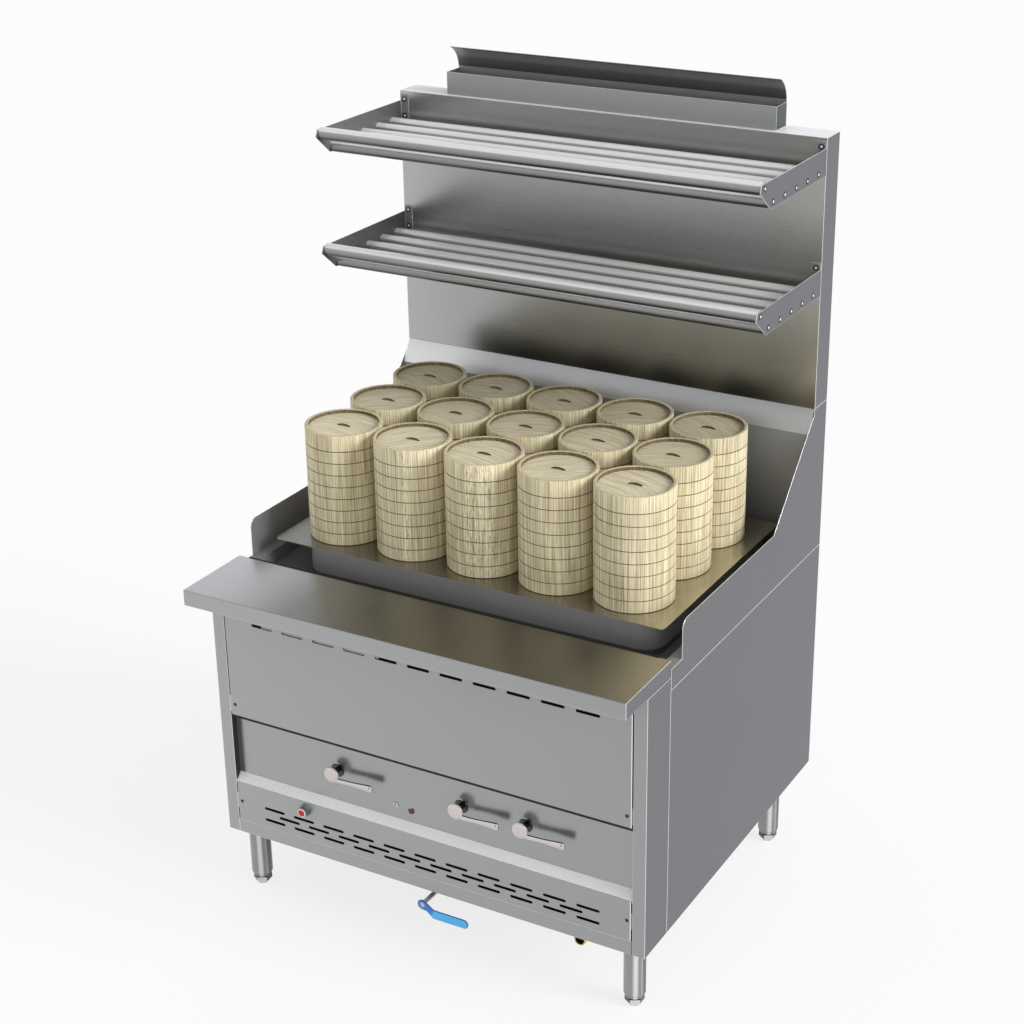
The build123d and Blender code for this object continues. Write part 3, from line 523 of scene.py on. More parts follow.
behind = step(slotted_sheet, "FunctionNodeCompare", {0: split.outputs["Y"], 1: -0.5},
              operation="GREATER_THAN")
outer = step(slotted_sheet, "SetMaterial", {"Geometry": upright.outputs[0], "Material": given["Outside"]})
inner = step(slotted_sheet, "SetMaterial", {"Geometry": outer.outputs[0], "Selection": behind.outputs[0],
                                            "Material": given["Inside"]})
wire(slotted_sheet, (inner.outputs[0], result.inputs[0]))

slot_pitch = 0.0801
slot_count = 11
slot_length = 0.055
slot_width = 0.0068
panel_gap = 0.0018
sheet_thickness = 0.0015
for panel, rows, hole_radius, hole_x, hole_z in (
    ("lower_front_panel", (0.2430, 0.2286, 0.2134), 0.0113, -0.313, 0.273),
    ("upper_front_panel", (0.7075,), 0.0, 0.0, 0.0),
):
    low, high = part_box(panel)
    middle_z = (low.z + high.z) / 2
    slot_places = []
    for row, slot_z in enumerate(rows):
        in_row = slot_count - row % 2
        slot_places += [((place - (in_row - 1) / 2) * slot_pitch, slot_z - middle_z, 0)
                        for place in range(in_row)]
    made = grown(panel + "_sheet", slotted_sheet, slot_places, {
        "Width": high.x - low.x - 2 * panel_gap, "Height": high.z - low.z, "Thickness": sheet_thickness,
        "Slot Length": slot_length, "Slot Width": slot_width, "Hole Radius": hole_radius,
        "Hole Place": (hole_x, hole_z - middle_z, 0), "Sheet Place": (0, high.y, middle_z),
        "Outside": front_steel, "Inside": inside_painted_shade}, smooth_below=20)
    fit(made, "cabinet", [], "sheet", panel)

# Stiffener: a strip of plain sheet spot-welded behind the first slots of the
# upper panel, which is why these slots look grey and the rest look black.

stiffener = steel("stiffener_steel", [(0.0, (168, 170, 170))], lines=0.05, roughness=0.5, metal=0.3)
strip_shape = bmesh.new()
strip_y = base_front_y + sheet_thickness + 0.0003
strip_profile = [(0.6900, 0.0), (0.6900, 0.0008), (0.7160, 0.0008), (0.7165, 0.0012), (0.7165, 0.0032),
                 (0.6885, 0.0032), (0.6885, 0.0)]
lofted(strip_shape, [[(x, strip_y + y, z) for z, y in strip_profile] for x in (-0.4035, -0.1000)])
fit(new_piece("upper_stiffener", strip_shape), "cabinet", [stiffener], "sheet")

# Painted shade and highlight strips: black strips of painted shade behind the
# front panels' open edges, strips of painted highlight along their right edges,
# and a black sheet of painted shade on the base frame that closes the view
# through the lower slots.


def strip(shape, low, high):
    """Add a flat strip of sheet whose long edges are eased."""
    ease = min(high[1] - low[1], 0.001) / 4
    profile = [(low[1], low[2] + ease), (low[1] + ease, low[2]), (high[1] - ease, low[2]),
               (high[1], low[2] + ease), (high[1], high[2] - ease), (high[1] - ease, high[2]),
               (low[1] + ease, high[2]), (low[1], high[2] - ease)]
    lofted(shape, [[(x, y, z) for y, z in profile] for x in (low[0], high[0])])


# Near black for painted shade: the strips, the sheet behind the slots and the shelf's back line.
shade_black = steel("shade_black", [(0.0, (9, 9, 10))], brushing=(200, 200, 200), lines=0.3, roughness=0.7,
                   metal=0.0)
shade_strip_shape = bmesh.new()
shade_strip_y = base_front_y + sheet_thickness + 0.0002
strip(shade_strip_shape, (-0.5030, shade_strip_y, 0.4608), (0.5030, shade_strip_y + 0.0012, 0.4690))
for shade_strip_x in (-0.5030, 0.4980):
    strip(shade_strip_shape, (shade_strip_x, shade_strip_y, 0.4700), (shade_strip_x + 0.0050, shade_strip_y + 0.0012, 0.7710))
    strip(shade_strip_shape, (shade_strip_x, shade_strip_y, 0.1945), (shade_strip_x + 0.0050, shade_strip_y + 0.0012, 0.2935))
rail_low, rail_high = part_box("base_rail")
strip(shade_strip_shape, (0.5021, rail_low.y - 0.0001, rail_low.z + 0.0006),
      (0.5033, rail_low.y + 0.0006, rail_high.z))
fit(new_piece("panel_shade_strips", shade_strip_shape), "cabinet", [shade_black], "sheet")
# Strips of painted highlight along the front panels' right edges.
highlight_strip_shape = bmesh.new()
for highlight_low, highlight_high in ((0.1955, 0.2925), (0.4680, 0.7690)):
    strip(highlight_strip_shape, (0.4984, base_front_y - 0.0002, highlight_low), (0.5007, base_front_y + 0.0004, highlight_high))
fit(new_piece("panel_highlight_strips", highlight_strip_shape), "cabinet", [painted_edge_highlight], "sheet")
shade_sheet_shape = bmesh.new()
strip(shade_sheet_shape, (-0.5000, base_front_y + 0.0380, 0.1634), (0.5000, base_front_y + 0.0392, 0.3000))
fit(new_piece("slot_shade_sheet", shade_sheet_shape), "cabinet", [shade_black], "sheet")

# Control panel: set back between the posts, with its bottom edge folded out as
# a sloping ledge. The ledge faces up and is painted near white as light, the
# brightest sheet on the front.

control_steel = steel("control_steel", [(0.0, (164, 166, 165)), (1.0, (157, 159, 158))],
                      brushing=(9, 900, 900), lines=0.05, clouds=0.02, roughness=0.24, smears=0.03, metal=0.8,
                      bump=0.02)
# The ledge: the panel's steel painted near white as light.
ledge_painted_light = steel("ledge_painted_light", [(0.0, (250, 251, 250))], brushing=(90, 500, 500), lines=0.26, clouds=0.03,
                    roughness=0.45, metal=0.05)


def control_faces(normal, centre):
    """The ledge is the slope that faces up and forward."""
    if normal.y < -0.3 and normal.z > 0.3:
        return 1
    return 0 if normal.y < -0.3 else 2


fit(folded("control_panel", 0.0005, pick=control_faces), "cabinet",
    [control_steel, ledge_painted_light, inside_painted_shade], "sheet", "control_panel")

# Work shelf: a folded cover that rests on the posts and hangs over the front. It
# has the heaviest brushing, its top is painted light at the left and darker and
# warmer in the middle as painted reflection, and a black strip of painted shade
# runs along its back edge against the well.

# The top's colours are painted reflection: light at the left end, darker and warmer in the middle.
shelf_top_painted_reflection = steel("shelf_top_painted_reflection", [
    (0.0, (214, 215, 219)), (0.10, (196, 197, 200)), (0.24, (152, 153, 154)), (0.40, (130, 130, 124)),
    (0.6, (124, 122, 113)), (0.88, (122, 121, 112)), (1.0, (158, 154, 140))],
    brushing=(260, 900, 900), lines=0.30, clouds=0.08, roughness=0.30, smears=0.06, metal=0.85, waver=0.12)
lip_steel = steel("lip_steel", [(0.0, (172, 174, 174)), (1.0, (160, 162, 162))], brushing=(9, 900, 900),
                  lines=0.07, clouds=0.03, roughness=0.42, smears=0.05, metal=0.5)


def shelf_faces(normal, centre):
    """Top, front lip, end lips and underside of the work shelf."""
    if normal.z > 0.8:
        return 0
    if abs(normal.x) > 0.8:
        return 2 if normal.x * centre.x > 0 else 3
    return 1 if normal.y < -0.1 else 3


fit(folded("work_shelf", 0.0014, pick=shelf_faces, highlight_index=4), "cabinet",
    [shelf_top_painted_reflection, lip_steel, side_steel_painted_shade, inside_painted_shade, painted_edge_highlight], "sheet", "work_shelf")
shelf_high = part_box("work_shelf")[1]
# A near-black strip of painted shade along the shelf's back edge.
shade_line_shape = bmesh.new()
strip(shade_line_shape, (-0.5050, shelf_high.y - 0.0012, shelf_high.z - 0.0010),
      (0.5050, shelf_high.y + 0.0012, shelf_high.z + 0.0016))
fit(new_piece("shelf_shade_line", shade_line_shape), "cabinet", [shade_black], "sheet")

# Well, water tank and rear wall: the pan round the steam plate, the deep tank
# welded under it, and the wall behind, which slopes back to the backsplash.

well_steel = steel("well_steel", [(0.0, (142, 143, 145))], brushing=(7, 500, 500), lines=0.12, clouds=0.12,
                   roughness=0.45, metal=0.2)
# The well's floor is painted darker than its walls as shade.
well_floor_painted_shade = steel("well_floor_painted_shade", [(0.0, (118, 118, 119))], brushing=(7, 500, 500), lines=0.15,
                         clouds=0.2, roughness=0.45, metal=0.2)
tank_steel = steel("tank_steel", [(0.0, (92, 86, 78)), (0.5, (112, 110, 106)), (1.0, (122, 121, 119))],
                   along=(0, 0, 1), span=(0.5, 0.84), brushing=(60, 60, 300), lines=0.2, clouds=0.3,
                   roughness=0.5, metal=0.7)
# The rear wall's band that faces up is painted near white as light.
wall_band_painted_light = steel("wall_band_painted_light", [(0.0, (252, 254, 254)), (0.10, (250, 252, 253)), (0.22, (210, 212, 214)),
                                (0.45, (210, 212, 214)), (1.0, (190, 191, 194))], brushing=(7, 800, 800),
                  lines=0.08, roughness=0.42, metal=0.5)


def well_faces(normal, centre):
    """The ledges and walls of the well, and its floor, painted darker as shade."""
    return 1 if normal.z > 0.8 and centre.z < 0.77 else 0


fit(folded("well_deck", 0.0005, pick=well_faces), "cabinet", [well_steel, well_floor_painted_shade], "sheet",
    "well_deck")
fit(folded("water_tank", 0.0005), "cabinet", [tank_steel], "tank_steel", "water_tank")
fit(folded("rear_wall", 0.0005, pick=lambda normal, centre: 1 if normal.z > 0.3 else 0), "cabinet",
    [well_steel, wall_band_painted_light], "sheet", "rear_wall")

# Gas train: three cast burners fed by hexagon brass valves from one black
# steel pipe, which ends in a brass union that opens to the front at the base.

cast_iron = steel("cast_iron", [(0.0, (40, 39, 38))], brushing=(220, 220, 220), lines=0.5, clouds=0.3,
                  roughness=0.75, metal=0.3, bump=0.6)
black_pipe = steel("black_pipe", [(0.0, (52, 52, 54))], brushing=(40, 200, 200), lines=0.3, clouds=0.3,
                   roughness=0.5, metal=0.4)
# The brass is painted by where a face looks: brightest on faces that look sideways as painted highlight,
# darker on faces that look down as shade.
brass = steel("brass", [(0.0, (128, 112, 30)), (0.5, (206, 186, 62)), (1.0, (150, 128, 38))],
              facing=(0, 0, 1), brushing=(300, 300, 300), lines=0.2, clouds=0.2, roughness=0.32, metal=0.8)
dark_bore = steel("dark_bore", [(0.0, (28, 26, 16))], brushing=(300, 300, 300), lines=0.3, roughness=0.6,
                  metal=0.3)
fit(folded("burners", 0.003, 3), "cabinet", [cast_iron], "cast", "burners")
fit(folded("gas_valves", 0.0012), "cabinet", [brass], "brass", "gas_valves")
fit(folded("gas_manifold", 0.0008), "cabinet", [black_pipe], "pipe", "gas_manifold")



def off_axis(face, place):
    """How far a face's middle is from the line that runs front to back through a place."""
    middle = face.calc_center_median()
    return math.hypot(middle.x - place[0], middle.z - place[2])


union_shape = bmesh.new()
union_low, union_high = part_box("gas_inlet")
union_x = (union_low.x + union_high.x) / 2
union_z = 0.136
union_profile = [(0.0104, -0.0330), (0.0104, 0.0), (0.0112, 0.0010), (0.0126, 0.0010), (0.01335, 0.0002),
                 (0.01335, -0.0080), (0.0126, -0.0086), (0.0126, -0.0350)]
union_profile = [(radius, along - 0.0010) for radius, along in union_profile]
union_place = (union_x, union_low.y, union_z)
for face in turned(union_shape, union_profile, union_place, "-Y", 40):
    face.material_index = 1 if off_axis(face, union_place) < 0.0106 else 0
turned(union_shape, [(0.0, -0.001), (0.0128, 0.0), (0.01335, 0.0010), (0.01335, 0.0640)],
       (union_x, union_high.y - 0.01335, union_z - 0.0125), "Z", 40)
fit(new_piece("gas_union", union_shape), "cabinet", [brass, dark_bore], "brass", "gas_inlet")

# Drain valve and lever: a ball valve on the pipe that empties the tank. Its
# long stem comes forward under the cabinet and carries a lever dipped in vinyl.

fit(folded("drain_valve", 0.0008), "cabinet", [brass], "brass", "drain_valve")


def speckled(name, stops, along=(0, 0, 1), span=(0.0, 1.0), facing=None, speck=400, depth=0.06,
             roughness=0.3, coat=0.0, bump=0.05):
    """A moulded or dipped finish, with a faint mottle and orange-peel skin, its colours laid along one
    direction or painted as light and shade by where a face looks.
    """
    material, tree, shader = new_finish(name)
    source = tree.nodes.new("ShaderNodeTexCoord")
    place = source.outputs["Normal" if facing else "Object"]
    reach = vector_node(tree, "DOT_PRODUCT", place, facing or along)
    share = spread_node(tree, reach, *((-1, 1) if facing else span))
    colour = colour_ramp(tree, share, [(position, paint(*tone)) for position, tone in stops])
    mottle = noise_node(tree, source.outputs["Object"], speck, 3.0)
    shade = sum_node(tree, "ADD", swing(tree, mottle, depth), 1.0)
    skin = tree.nodes.new("ShaderNodeBump")
    skin.inputs["Strength"].default_value = bump
    skin.inputs["Distance"].default_value = 0.0005
    rough = sum_node(tree, "ADD", sum_node(tree, "MULTIPLY", mottle, 0.12), roughness)
    wire(tree, (vector_node(tree, "SCALE", colour, shade), shader.inputs["Base Color"]),
         (rough, shader.inputs["Roughness"]), (mottle, skin.inputs["Height"]),
         (skin.outputs["Normal"], shader.inputs["Normal"]))
    shader.inputs["Coat Weight"].default_value = coat
    return material


# The vinyl's blue is painted darker towards the hub and lighter towards the tip, as painted shade on the neck.
blue_vinyl = speckled("blue_vinyl", [(0.0, (38, 116, 206)), (0.46, (46, 128, 220)), (0.54, (84, 192, 252)),
                                     (1.0, (80, 186, 250))], along=(1.0, 0.0, -0.45), span=(-0.085, 0.030),
                      roughness=0.40, coat=0.1)
blue_edge = speckled("blue_edge", [(0.0, (24, 84, 140)), (1.0, (34, 104, 158))], speck=200, roughness=0.45)
hub_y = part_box("drain_lever")[0].y
hub_z = 0.132
hub_radius = 0.0120
blade_half = 0.0110
blade_drop = 0.0163
lever_outline = []
for turn in range(13):
    angle = math.radians(60 + turn * 17.5)
    lever_outline.append((hub_radius * math.cos(angle), hub_radius * math.sin(angle)))
lever_outline += [(0.0110, -0.0130), (0.0180, -0.0190), (0.0275, -blade_drop - blade_half)]
for turn in range(13):
    angle = math.radians(-90 + turn * 15)
    lever_outline.append((0.1165 - blade_half + blade_half * math.cos(angle),
                          -blade_drop + blade_half * math.sin(angle)))
lever_outline += [(0.0330, -blade_drop + blade_half), (0.0270, -0.0046), (0.0180, 0.0024)]
lever_shape = bmesh.new()
lofted(lever_shape, [[(x, hub_y + depth, hub_z + z) for x, z in lever_outline] for depth in (0.0, 0.0034)])
lever = new_piece("vinyl_lever", lever_shape)
dipping = lever.modifiers.new("dipping", "BEVEL")
dipping.width = 0.0013
dipping.segments = 2
dipping.limit_method = "ANGLE"
dipping.angle_limit = math.radians(50)
dipping.material = 1
fit(lever, "drain_lever", [blue_vinyl, blue_edge], "blue_lever", "drain_lever")

lever_rod = bmesh.new()
rod_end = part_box("drain_lever")[1].y
turned(lever_rod, [(0.0058, -0.0030), (0.0058, hub_y - rod_end + 0.0005), (0.0052, hub_y - rod_end)],
       (0, hub_y, hub_z), "-Y", 24)
turned(lever_rod, [(0.0, 0.0007), (0.0034, 0.0006), (0.0040, 0.0002), (0.0040, -0.0010)], (0, hub_y, hub_z),
       "-Y", 6)
turned(lever_rod, [(0.0050, 0.0002), (0.0066, 0.0), (0.0070, -0.0004), (0.0070, -0.0012)], (0, hub_y, hub_z),
       "-Y", 24)
# The rod is painted by where a face looks: black on one side, bright on the other, as painted reflection.
rod_steel = steel("rod_steel", [(0.0, (14, 14, 16)), (0.22, (20, 20, 22)), (0.34, (140, 136, 136)),
                                (0.5, (176, 174, 184)), (0.66, (206, 204, 216)), (0.85, (236, 234, 240)),
                                (1.0, (150, 148, 156))], facing=(0.72, 0, 0.69),
                  brushing=(300, 20, 300), lines=0.05, roughness=0.3, metal=0.4, bump=0.03)
fit(new_piece("lever_rod", lever_rod), "drain_lever", [rod_steel], "polished_tube")

# Valve handles: three castings on black collars, each a round cap on a spindle
# through the panel, with a lever that widens to its end. The lever's back and
# top are painted dark as shade, the cap's back is painted white as light, the
# caps are painted lighter and darker by where a face looks, and the collars carry
# a painted glint.

cast_handle = steel("cast_handle", [(0.0, (128, 122, 120)), (0.35, (176, 169, 166)), (0.62, (202, 195, 192)),
                                    (1.0, (236, 233, 230))], facing=(-0.35, -0.45, 0.82),
                    brushing=(420, 420, 420), lines=0.42, clouds=0.08, roughness=0.36, metal=0.35, bump=0.5)
# Painted shade for the levers' back and top; painted white light for the caps' back.
cast_painted_shade = steel("cast_painted_shade", [(0.0, (34, 32, 31))], brushing=(260, 260, 260), lines=0.3, roughness=0.6,
                  metal=0.2)
cap_back_painted_light = speckled("cap_back_painted_light", [(0.0, (236, 236, 236)), (1.0, (250, 250, 250))], roughness=0.6)
# Black with a painted white glint on faces that look up and to the left.
black_with_painted_glint = speckled("black_with_painted_glint", [(0.0, (6, 6, 6)), (0.80, (14, 14, 14)), (0.88, (250, 250, 250)),
                                         (0.95, (250, 250, 250)), (1.0, (40, 40, 40))],
                        facing=(-0.55, -0.30, 0.78), roughness=0.2, coat=0.5)
handle_places = (("left", -0.2325), ("middle", 0.0854), ("right", 0.2430))
handle_z = 0.389
control_y = base_front_y + 0.0185
collar_shape = bmesh.new()
collar_profile = [(0.0070, -0.0020), (0.0074, 0.0012), (0.0140, 0.0022), (0.0160, 0.0020), (0.0168, 0.0008),
                  (0.0168, 0.0002), (0.0150, -0.0016)]
for handle_name, handle_x in handle_places:
    turned(collar_shape, collar_profile, (handle_x, control_y, handle_z), "-Y", 36)
fit(new_piece("valve_collars", collar_shape), "cabinet", [black_with_painted_glint], "handle")
lever_line = [(0.0110, -0.0098, 0.0126, 0.0052), (0.0180, -0.0106, 0.0126, 0.0050),
              (0.0280, -0.0104, 0.0116, 0.0046), (0.0450, -0.0094, 0.0108, 0.0044),
              (0.0650, -0.0086, 0.0124, 0.0046), (0.0850, -0.0082, 0.0160, 0.0048),
              (0.0980, -0.0080, 0.0184, 0.0050), (0.1030, -0.0080, 0.0174, 0.0048),
              (0.1060, -0.0080, 0.0124, 0.0040)]
for handle_name, handle_x in handle_places:
    handle_low, handle_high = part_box(f"{handle_name}_valve_handle")
    cap_y = handle_low.y
    handle_shape = bmesh.new()
    turned(handle_shape, [(0.0, 0.0), (0.0130, -0.0001), (0.0164, -0.0005), (0.0181, -0.0014),
                          (0.0189, -0.0030), (0.0186, -0.0050), (0.0168, -0.0064), (0.0100, -0.0072),
                          (0.0068, -0.0098), (0.0060, -0.0120), (0.0060, cap_y - handle_high.y)],
           (handle_x, cap_y, handle_z), "-Y", 48)
    lever_rings = []
    for reach, drop, width, thickness in lever_line:
        ring = []
        for corner in range(12):
            angle = 2 * math.pi * (corner + 0.5) / 12
            bulge = 0.5 / max(abs(math.cos(angle)), abs(math.sin(angle)), 0.82)
            ring.append((handle_x + reach, cap_y + 0.0036 + thickness * bulge * math.sin(angle),
                         handle_z + drop + width * bulge * math.cos(angle)))
        lever_rings.append(ring)
    lofted(handle_shape, lever_rings)
    bmesh.ops.recalc_face_normals(handle_shape, faces=handle_shape.faces)
    for face in handle_shape.faces:
        middle = face.calc_center_median()
        on_lever = middle.x > handle_x + 0.0195
        turned_away = on_lever and (face.normal.y > 0.35 or face.normal.z > 0.7)
        behind_cap = not on_lever and face.normal.y > 0.5
        face.material_index = 2 if behind_cap else (1 if turned_away or middle.y > cap_y + 0.0090 else 0)
    handle = new_piece(f"{handle_name}_handle", handle_shape, 60)
    fit(handle, f"{handle_name}_valve_handle", [cast_handle, cast_painted_shade, cap_back_painted_light], "handle",
        f"{handle_name}_valve_handle")
    dot_shape = bmesh.new()
    turned(dot_shape, [(0.0, 0.0), (0.0016, -0.0001), (0.0020, -0.0004), (0.0020, -0.0014)],
           (handle_x + 0.0995, cap_y + 0.0010, handle_z - 0.0050), "-Y", 16)
    fit(new_piece(f"{handle_name}_handle_dot", dot_shape), f"{handle_name}_valve_handle", [black_with_painted_glint],
        "handle")

# Push button: a red moulded cap with a pale rim and a slate-grey body, in a
# turned bezel on the lower panel.

# The button's colours are painted lighter on faces that look up and forward and darker where they turn away:
# painted light and shade.
red_cap = speckled("red_cap", [(0.0, (150, 8, 22)), (0.5, (204, 12, 34)), (1.0, (216, 26, 44))],
                   facing=(0, -0.5, 0.86), roughness=0.45)
pale_ring = speckled("pale_ring", [(0.0, (196, 176, 178)), (1.0, (240, 226, 226))], facing=(0, -0.5, 0.86),
                     roughness=0.35)
bezel_metal = steel("bezel_metal", [(0.0, (60, 70, 78)), (0.5, (112, 120, 128)), (0.75, (170, 174, 180)),
                                    (1.0, (140, 144, 150))], facing=(-0.4, -0.3, 0.85),
                    brushing=(300, 300, 300), lines=0.1, roughness=0.26, metal=0.7)
dark_red = speckled("dark_red", [(0.0, (150, 10, 34)), (1.0, (176, 24, 50))], facing=(0, -0.5, 0.86),
                    roughness=0.3, coat=0.3)
slate_body = speckled("slate_body", [(0.0, (44, 60, 70)), (1.0, (96, 112, 120))], facing=(0, -0.5, 0.86),
                      roughness=0.4)
button_place = (-0.313, base_front_y, 0.273)
button_shape = bmesh.new()
button_profile = [(0.0, 0.0172), (0.0050, 0.0172), (0.0060, 0.0172), (0.0076, 0.0174), (0.0082, 0.0178),
                  (0.0086, 0.0180), (0.0098, 0.0180), (0.0107, 0.0174), (0.0110, 0.0164), (0.0110, -0.0085),
                  (0.0106, -0.0090)]
for face in turned(button_shape, button_profile, button_place, "-Y", 40):
    radius = off_axis(face, button_place)
    if face.calc_center_median().y > base_front_y - 0.0166:
        face.material_index = 3
    else:
        face.material_index = 0 if radius < 0.0068 else (1 if radius < 0.0082 else 2)
fit(new_piece("button_cap", button_shape), "red_button", [red_cap, dark_red, pale_ring, slate_body],
    "red_plastic", "red_button")
bezel_shape = bmesh.new()
bezel_profile = [(0.0113, 0.0), (0.0113, 0.0086), (0.0117, 0.0090), (0.0126, 0.0090), (0.0132, 0.0084),
                 (0.0134, 0.0030), (0.0140, 0.0024), (0.0140, 0.0)]
turned(bezel_shape, bezel_profile + bezel_profile[:1], button_place, "-Y", 40)
bmesh.ops.delete(bezel_shape, geom=[f for f in bezel_shape.faces if len(f.verts) > 4], context="FACES_ONLY")
bmesh.ops.remove_doubles(bezel_shape, verts=bezel_shape.verts, dist=0.000002)
fit(new_piece("button_bezel_ring", bezel_shape), "cabinet", [bezel_metal], "bezel", "button_bezel")

# Indicator lamp and pilot sight: a dark red domed lens in a black ring, and a
# small bright boss beside it with a peep-hole for the pilot flame.

# The lens has a painted highlight where it looks up and forward, darker elsewhere.
lens_red = speckled("lens_red", [(0.0, (50, 3, 10)), (0.55, (96, 6, 20)), (0.88, (120, 14, 30)),
                                 (0.96, (190, 90, 100))], facing=(0.2, -0.4, 0.85),
                    roughness=0.3, coat=0.15)
lamp_shape = bmesh.new()
lamp_place = (-0.0428, control_y, 0.3386)
lamp_profile = [(0.0, 0.0040), (0.0024, 0.0038), (0.0044, 0.0031), (0.0053, 0.0022), (0.0056, 0.0016),
                (0.0060, 0.0022), (0.0070, 0.0020), (0.0075, 0.0012), (0.0075, 0.0)]
for face in turned(lamp_shape, lamp_profile, lamp_place, "-Y", 36):
    face.material_index = 0 if off_axis(face, lamp_place) < 0.0055 else 1
fit(new_piece("lamp_lens", lamp_shape), "cabinet", [lens_red, black_with_painted_glint], "lamp_lens", "indicator_lamp")

sight_shape = bmesh.new()
sight_place = (-0.0826, control_y, 0.3434)
sight_profile = [(0.0, 0.0010), (0.0018, 0.0010), (0.0020, 0.0026), (0.0028, 0.0030), (0.0048, 0.0028),
                 (0.0062, 0.0018), (0.0065, 0.0008), (0.0065, 0.0)]
for face in turned(sight_shape, sight_profile, sight_place, "-Y", 36):
    face.material_index = 1 if off_axis(face, sight_place) < 0.0016 else 0
# The boss carries two painted highlights, by where its faces look sideways.
sight_metal = steel("sight_metal", [(0.0, (110, 112, 114)), (0.3, (232, 234, 235)), (0.5, (160, 162, 164)),
                                    (0.7, (236, 238, 239)), (1.0, (130, 132, 134))], facing=(1, 0, 0),
                    brushing=(300, 300, 300), roughness=0.3, metal=0.5)
fit(new_piece("sight_boss", sight_shape), "cabinet", [sight_metal, dark_gap], "polished_tube", "pilot_sight")

# Steam plate and skirt: a flat stainless lid that covers the tank, with a
# rounded skirt welded under it. Its top is painted lighter and warmer towards
# the right as painted reflection.

plate_top_painted_reflection = steel("plate_top_painted_reflection", [(0.0, (150, 149, 147)), (0.25, (148, 145, 137)), (0.6, (150, 145, 133)),
                                (0.85, (162, 156, 142)), (1.0, (196, 189, 170))], span=(-0.48, 0.48),
                  brushing=(220, 700, 700), lines=0.30, clouds=0.10, roughness=0.24, smears=0.08, metal=0.85)
# The plate's cut edge is painted light as a highlight.
plate_edge_highlight = steel("plate_edge_highlight", [(0.0, (196, 192, 180))], lines=0.1, roughness=0.3, metal=0.6)
skirt_steel = steel("skirt_steel", [(0.0, (148, 147, 147))], brushing=(120, 600, 600), lines=0.24,
                    clouds=0.12, roughness=0.42, metal=0.25)


def tray_faces(normal, centre):
    """The plate's top, its cut edge, and everything below."""
    if normal.z > 0.8 and centre.z > 0.834:
        return 0
    if centre.z > 0.8325 and abs(normal.z) < 0.5:
        return 1
    return 2


fit(folded("steam_tray", 0.0005, pick=tray_faces), "tray", [plate_top_painted_reflection, plate_edge_highlight, skirt_steel], "tray_steel",
    "steam_tray")

# Basket stacks: eight bamboo baskets in each, bent hoops of thin bamboo with a
# floor of split slats. Only the joints show as dark lines; the top one is open.


def bamboo(name, light, middle, dark, reading, fibre, patch, joints=None, bend=0.0, back_row_shade=0.0):
    """Bamboo with its fibres running one way, its dark joint lines, and painted shade that darkens it towards
    the back rows.
    """
    material, tree, shader = new_finish(name)
    object_place = tree.nodes.new("ShaderNodeTexCoord").outputs["Object"]
    split = tree.nodes.new("ShaderNodeSeparateXYZ")
    tree.links.new(object_place, split.inputs[0])
    place = object_place
    if reading != "Object":
        local = tree.nodes.new("ShaderNodeAttribute")
        local.attribute_name = reading
        place = local.outputs["Vector"]
    finish = tree.nodes.new("ShaderNodeGroup")
    finish.node_tree = bamboo_fibre
    finish.inputs["Light"].default_value = paint(*light)
    finish.inputs["Middle"].default_value = paint(*middle)
    finish.inputs["Dark"].default_value = paint(*dark)
    finish.inputs["Fibre"].default_value = fibre
    finish.inputs["Patch"].default_value = patch
    finish.inputs["Bend"].default_value = bend
    tree.links.new(place, finish.inputs["Place"])
    colour = finish.outputs["Colour"]
    if joints:
        base, pitch, width = joints
        level = sum_node(tree, "DIVIDE", sum_node(tree, "SUBTRACT", split.outputs["Z"], base), pitch)
        near = sum_node(tree, "PINGPONG", level, 0.5)
        line = spread_node(tree, near, width * 0.5 / pitch, width * 1.3 / pitch)
        contact = spread_node(tree, level, 0.03, 0.08)
        mix = tree.nodes.new("ShaderNodeMix")
        mix.data_type = "RGBA"
        mix.inputs["A"].default_value = paint(84, 66, 38)
        wire(tree, (sum_node(tree, "MULTIPLY", line, contact), mix.inputs["Factor"]),
             (colour, mix.inputs["B"]))
        colour = mix.outputs["Result"]
    if back_row_shade:
        row = spread_node(tree, split.outputs["Y"], row_places[0] - basket_radius, row_places[-1], 1.0,
                          1.0 - back_row_shade)
        colour = vector_node(tree, "SCALE", colour, row)
    grain = tree.nodes.new("ShaderNodeBump")
    grain.inputs["Strength"].default_value = 0.22
    grain.inputs["Distance"].default_value = 0.0006
    wire(tree, (colour, shader.inputs["Base Color"]),
         (finish.outputs["Roughness"], shader.inputs["Roughness"]),
         (finish.outputs["Height"], grain.inputs["Height"]),
         (grain.outputs["Normal"], shader.inputs["Normal"]))
    shader.inputs["Specular IOR Level"].default_value = 0.25
    return material


bamboo_fibre, given, result = shader_group(
    "bamboo_fibre",
    [("Place", "vector"), ("Light", "colour"), ("Middle", "colour"), ("Dark", "colour"), ("Fibre", "vector"),
     ("Patch", "number"), ("Bend", "number")],
    [("Colour", "colour"), ("Roughness", "number"), ("Height", "number")])
bent = bamboo_fibre.nodes.new("ShaderNodeSeparateXYZ")
bent_place = bamboo_fibre.nodes.new("ShaderNodeCombineXYZ")
wire(bamboo_fibre, (given.outputs["Place"], bent.inputs[0]))
squared = sum_node(bamboo_fibre, "MULTIPLY", bent.outputs["X"], bent.outputs["X"])
sideways = sum_node(bamboo_fibre, "MULTIPLY", squared, given.outputs["Bend"])
wire(bamboo_fibre, (bent.outputs["X"], bent_place.inputs["X"]), (bent.outputs["Z"], bent_place.inputs["Z"]),
     (sum_node(bamboo_fibre, "ADD", bent.outputs["Y"], sideways), bent_place.inputs["Y"]))
stretched = vector_node(bamboo_fibre, "MULTIPLY", bent_place.outputs["Vector"], given.outputs["Fibre"])
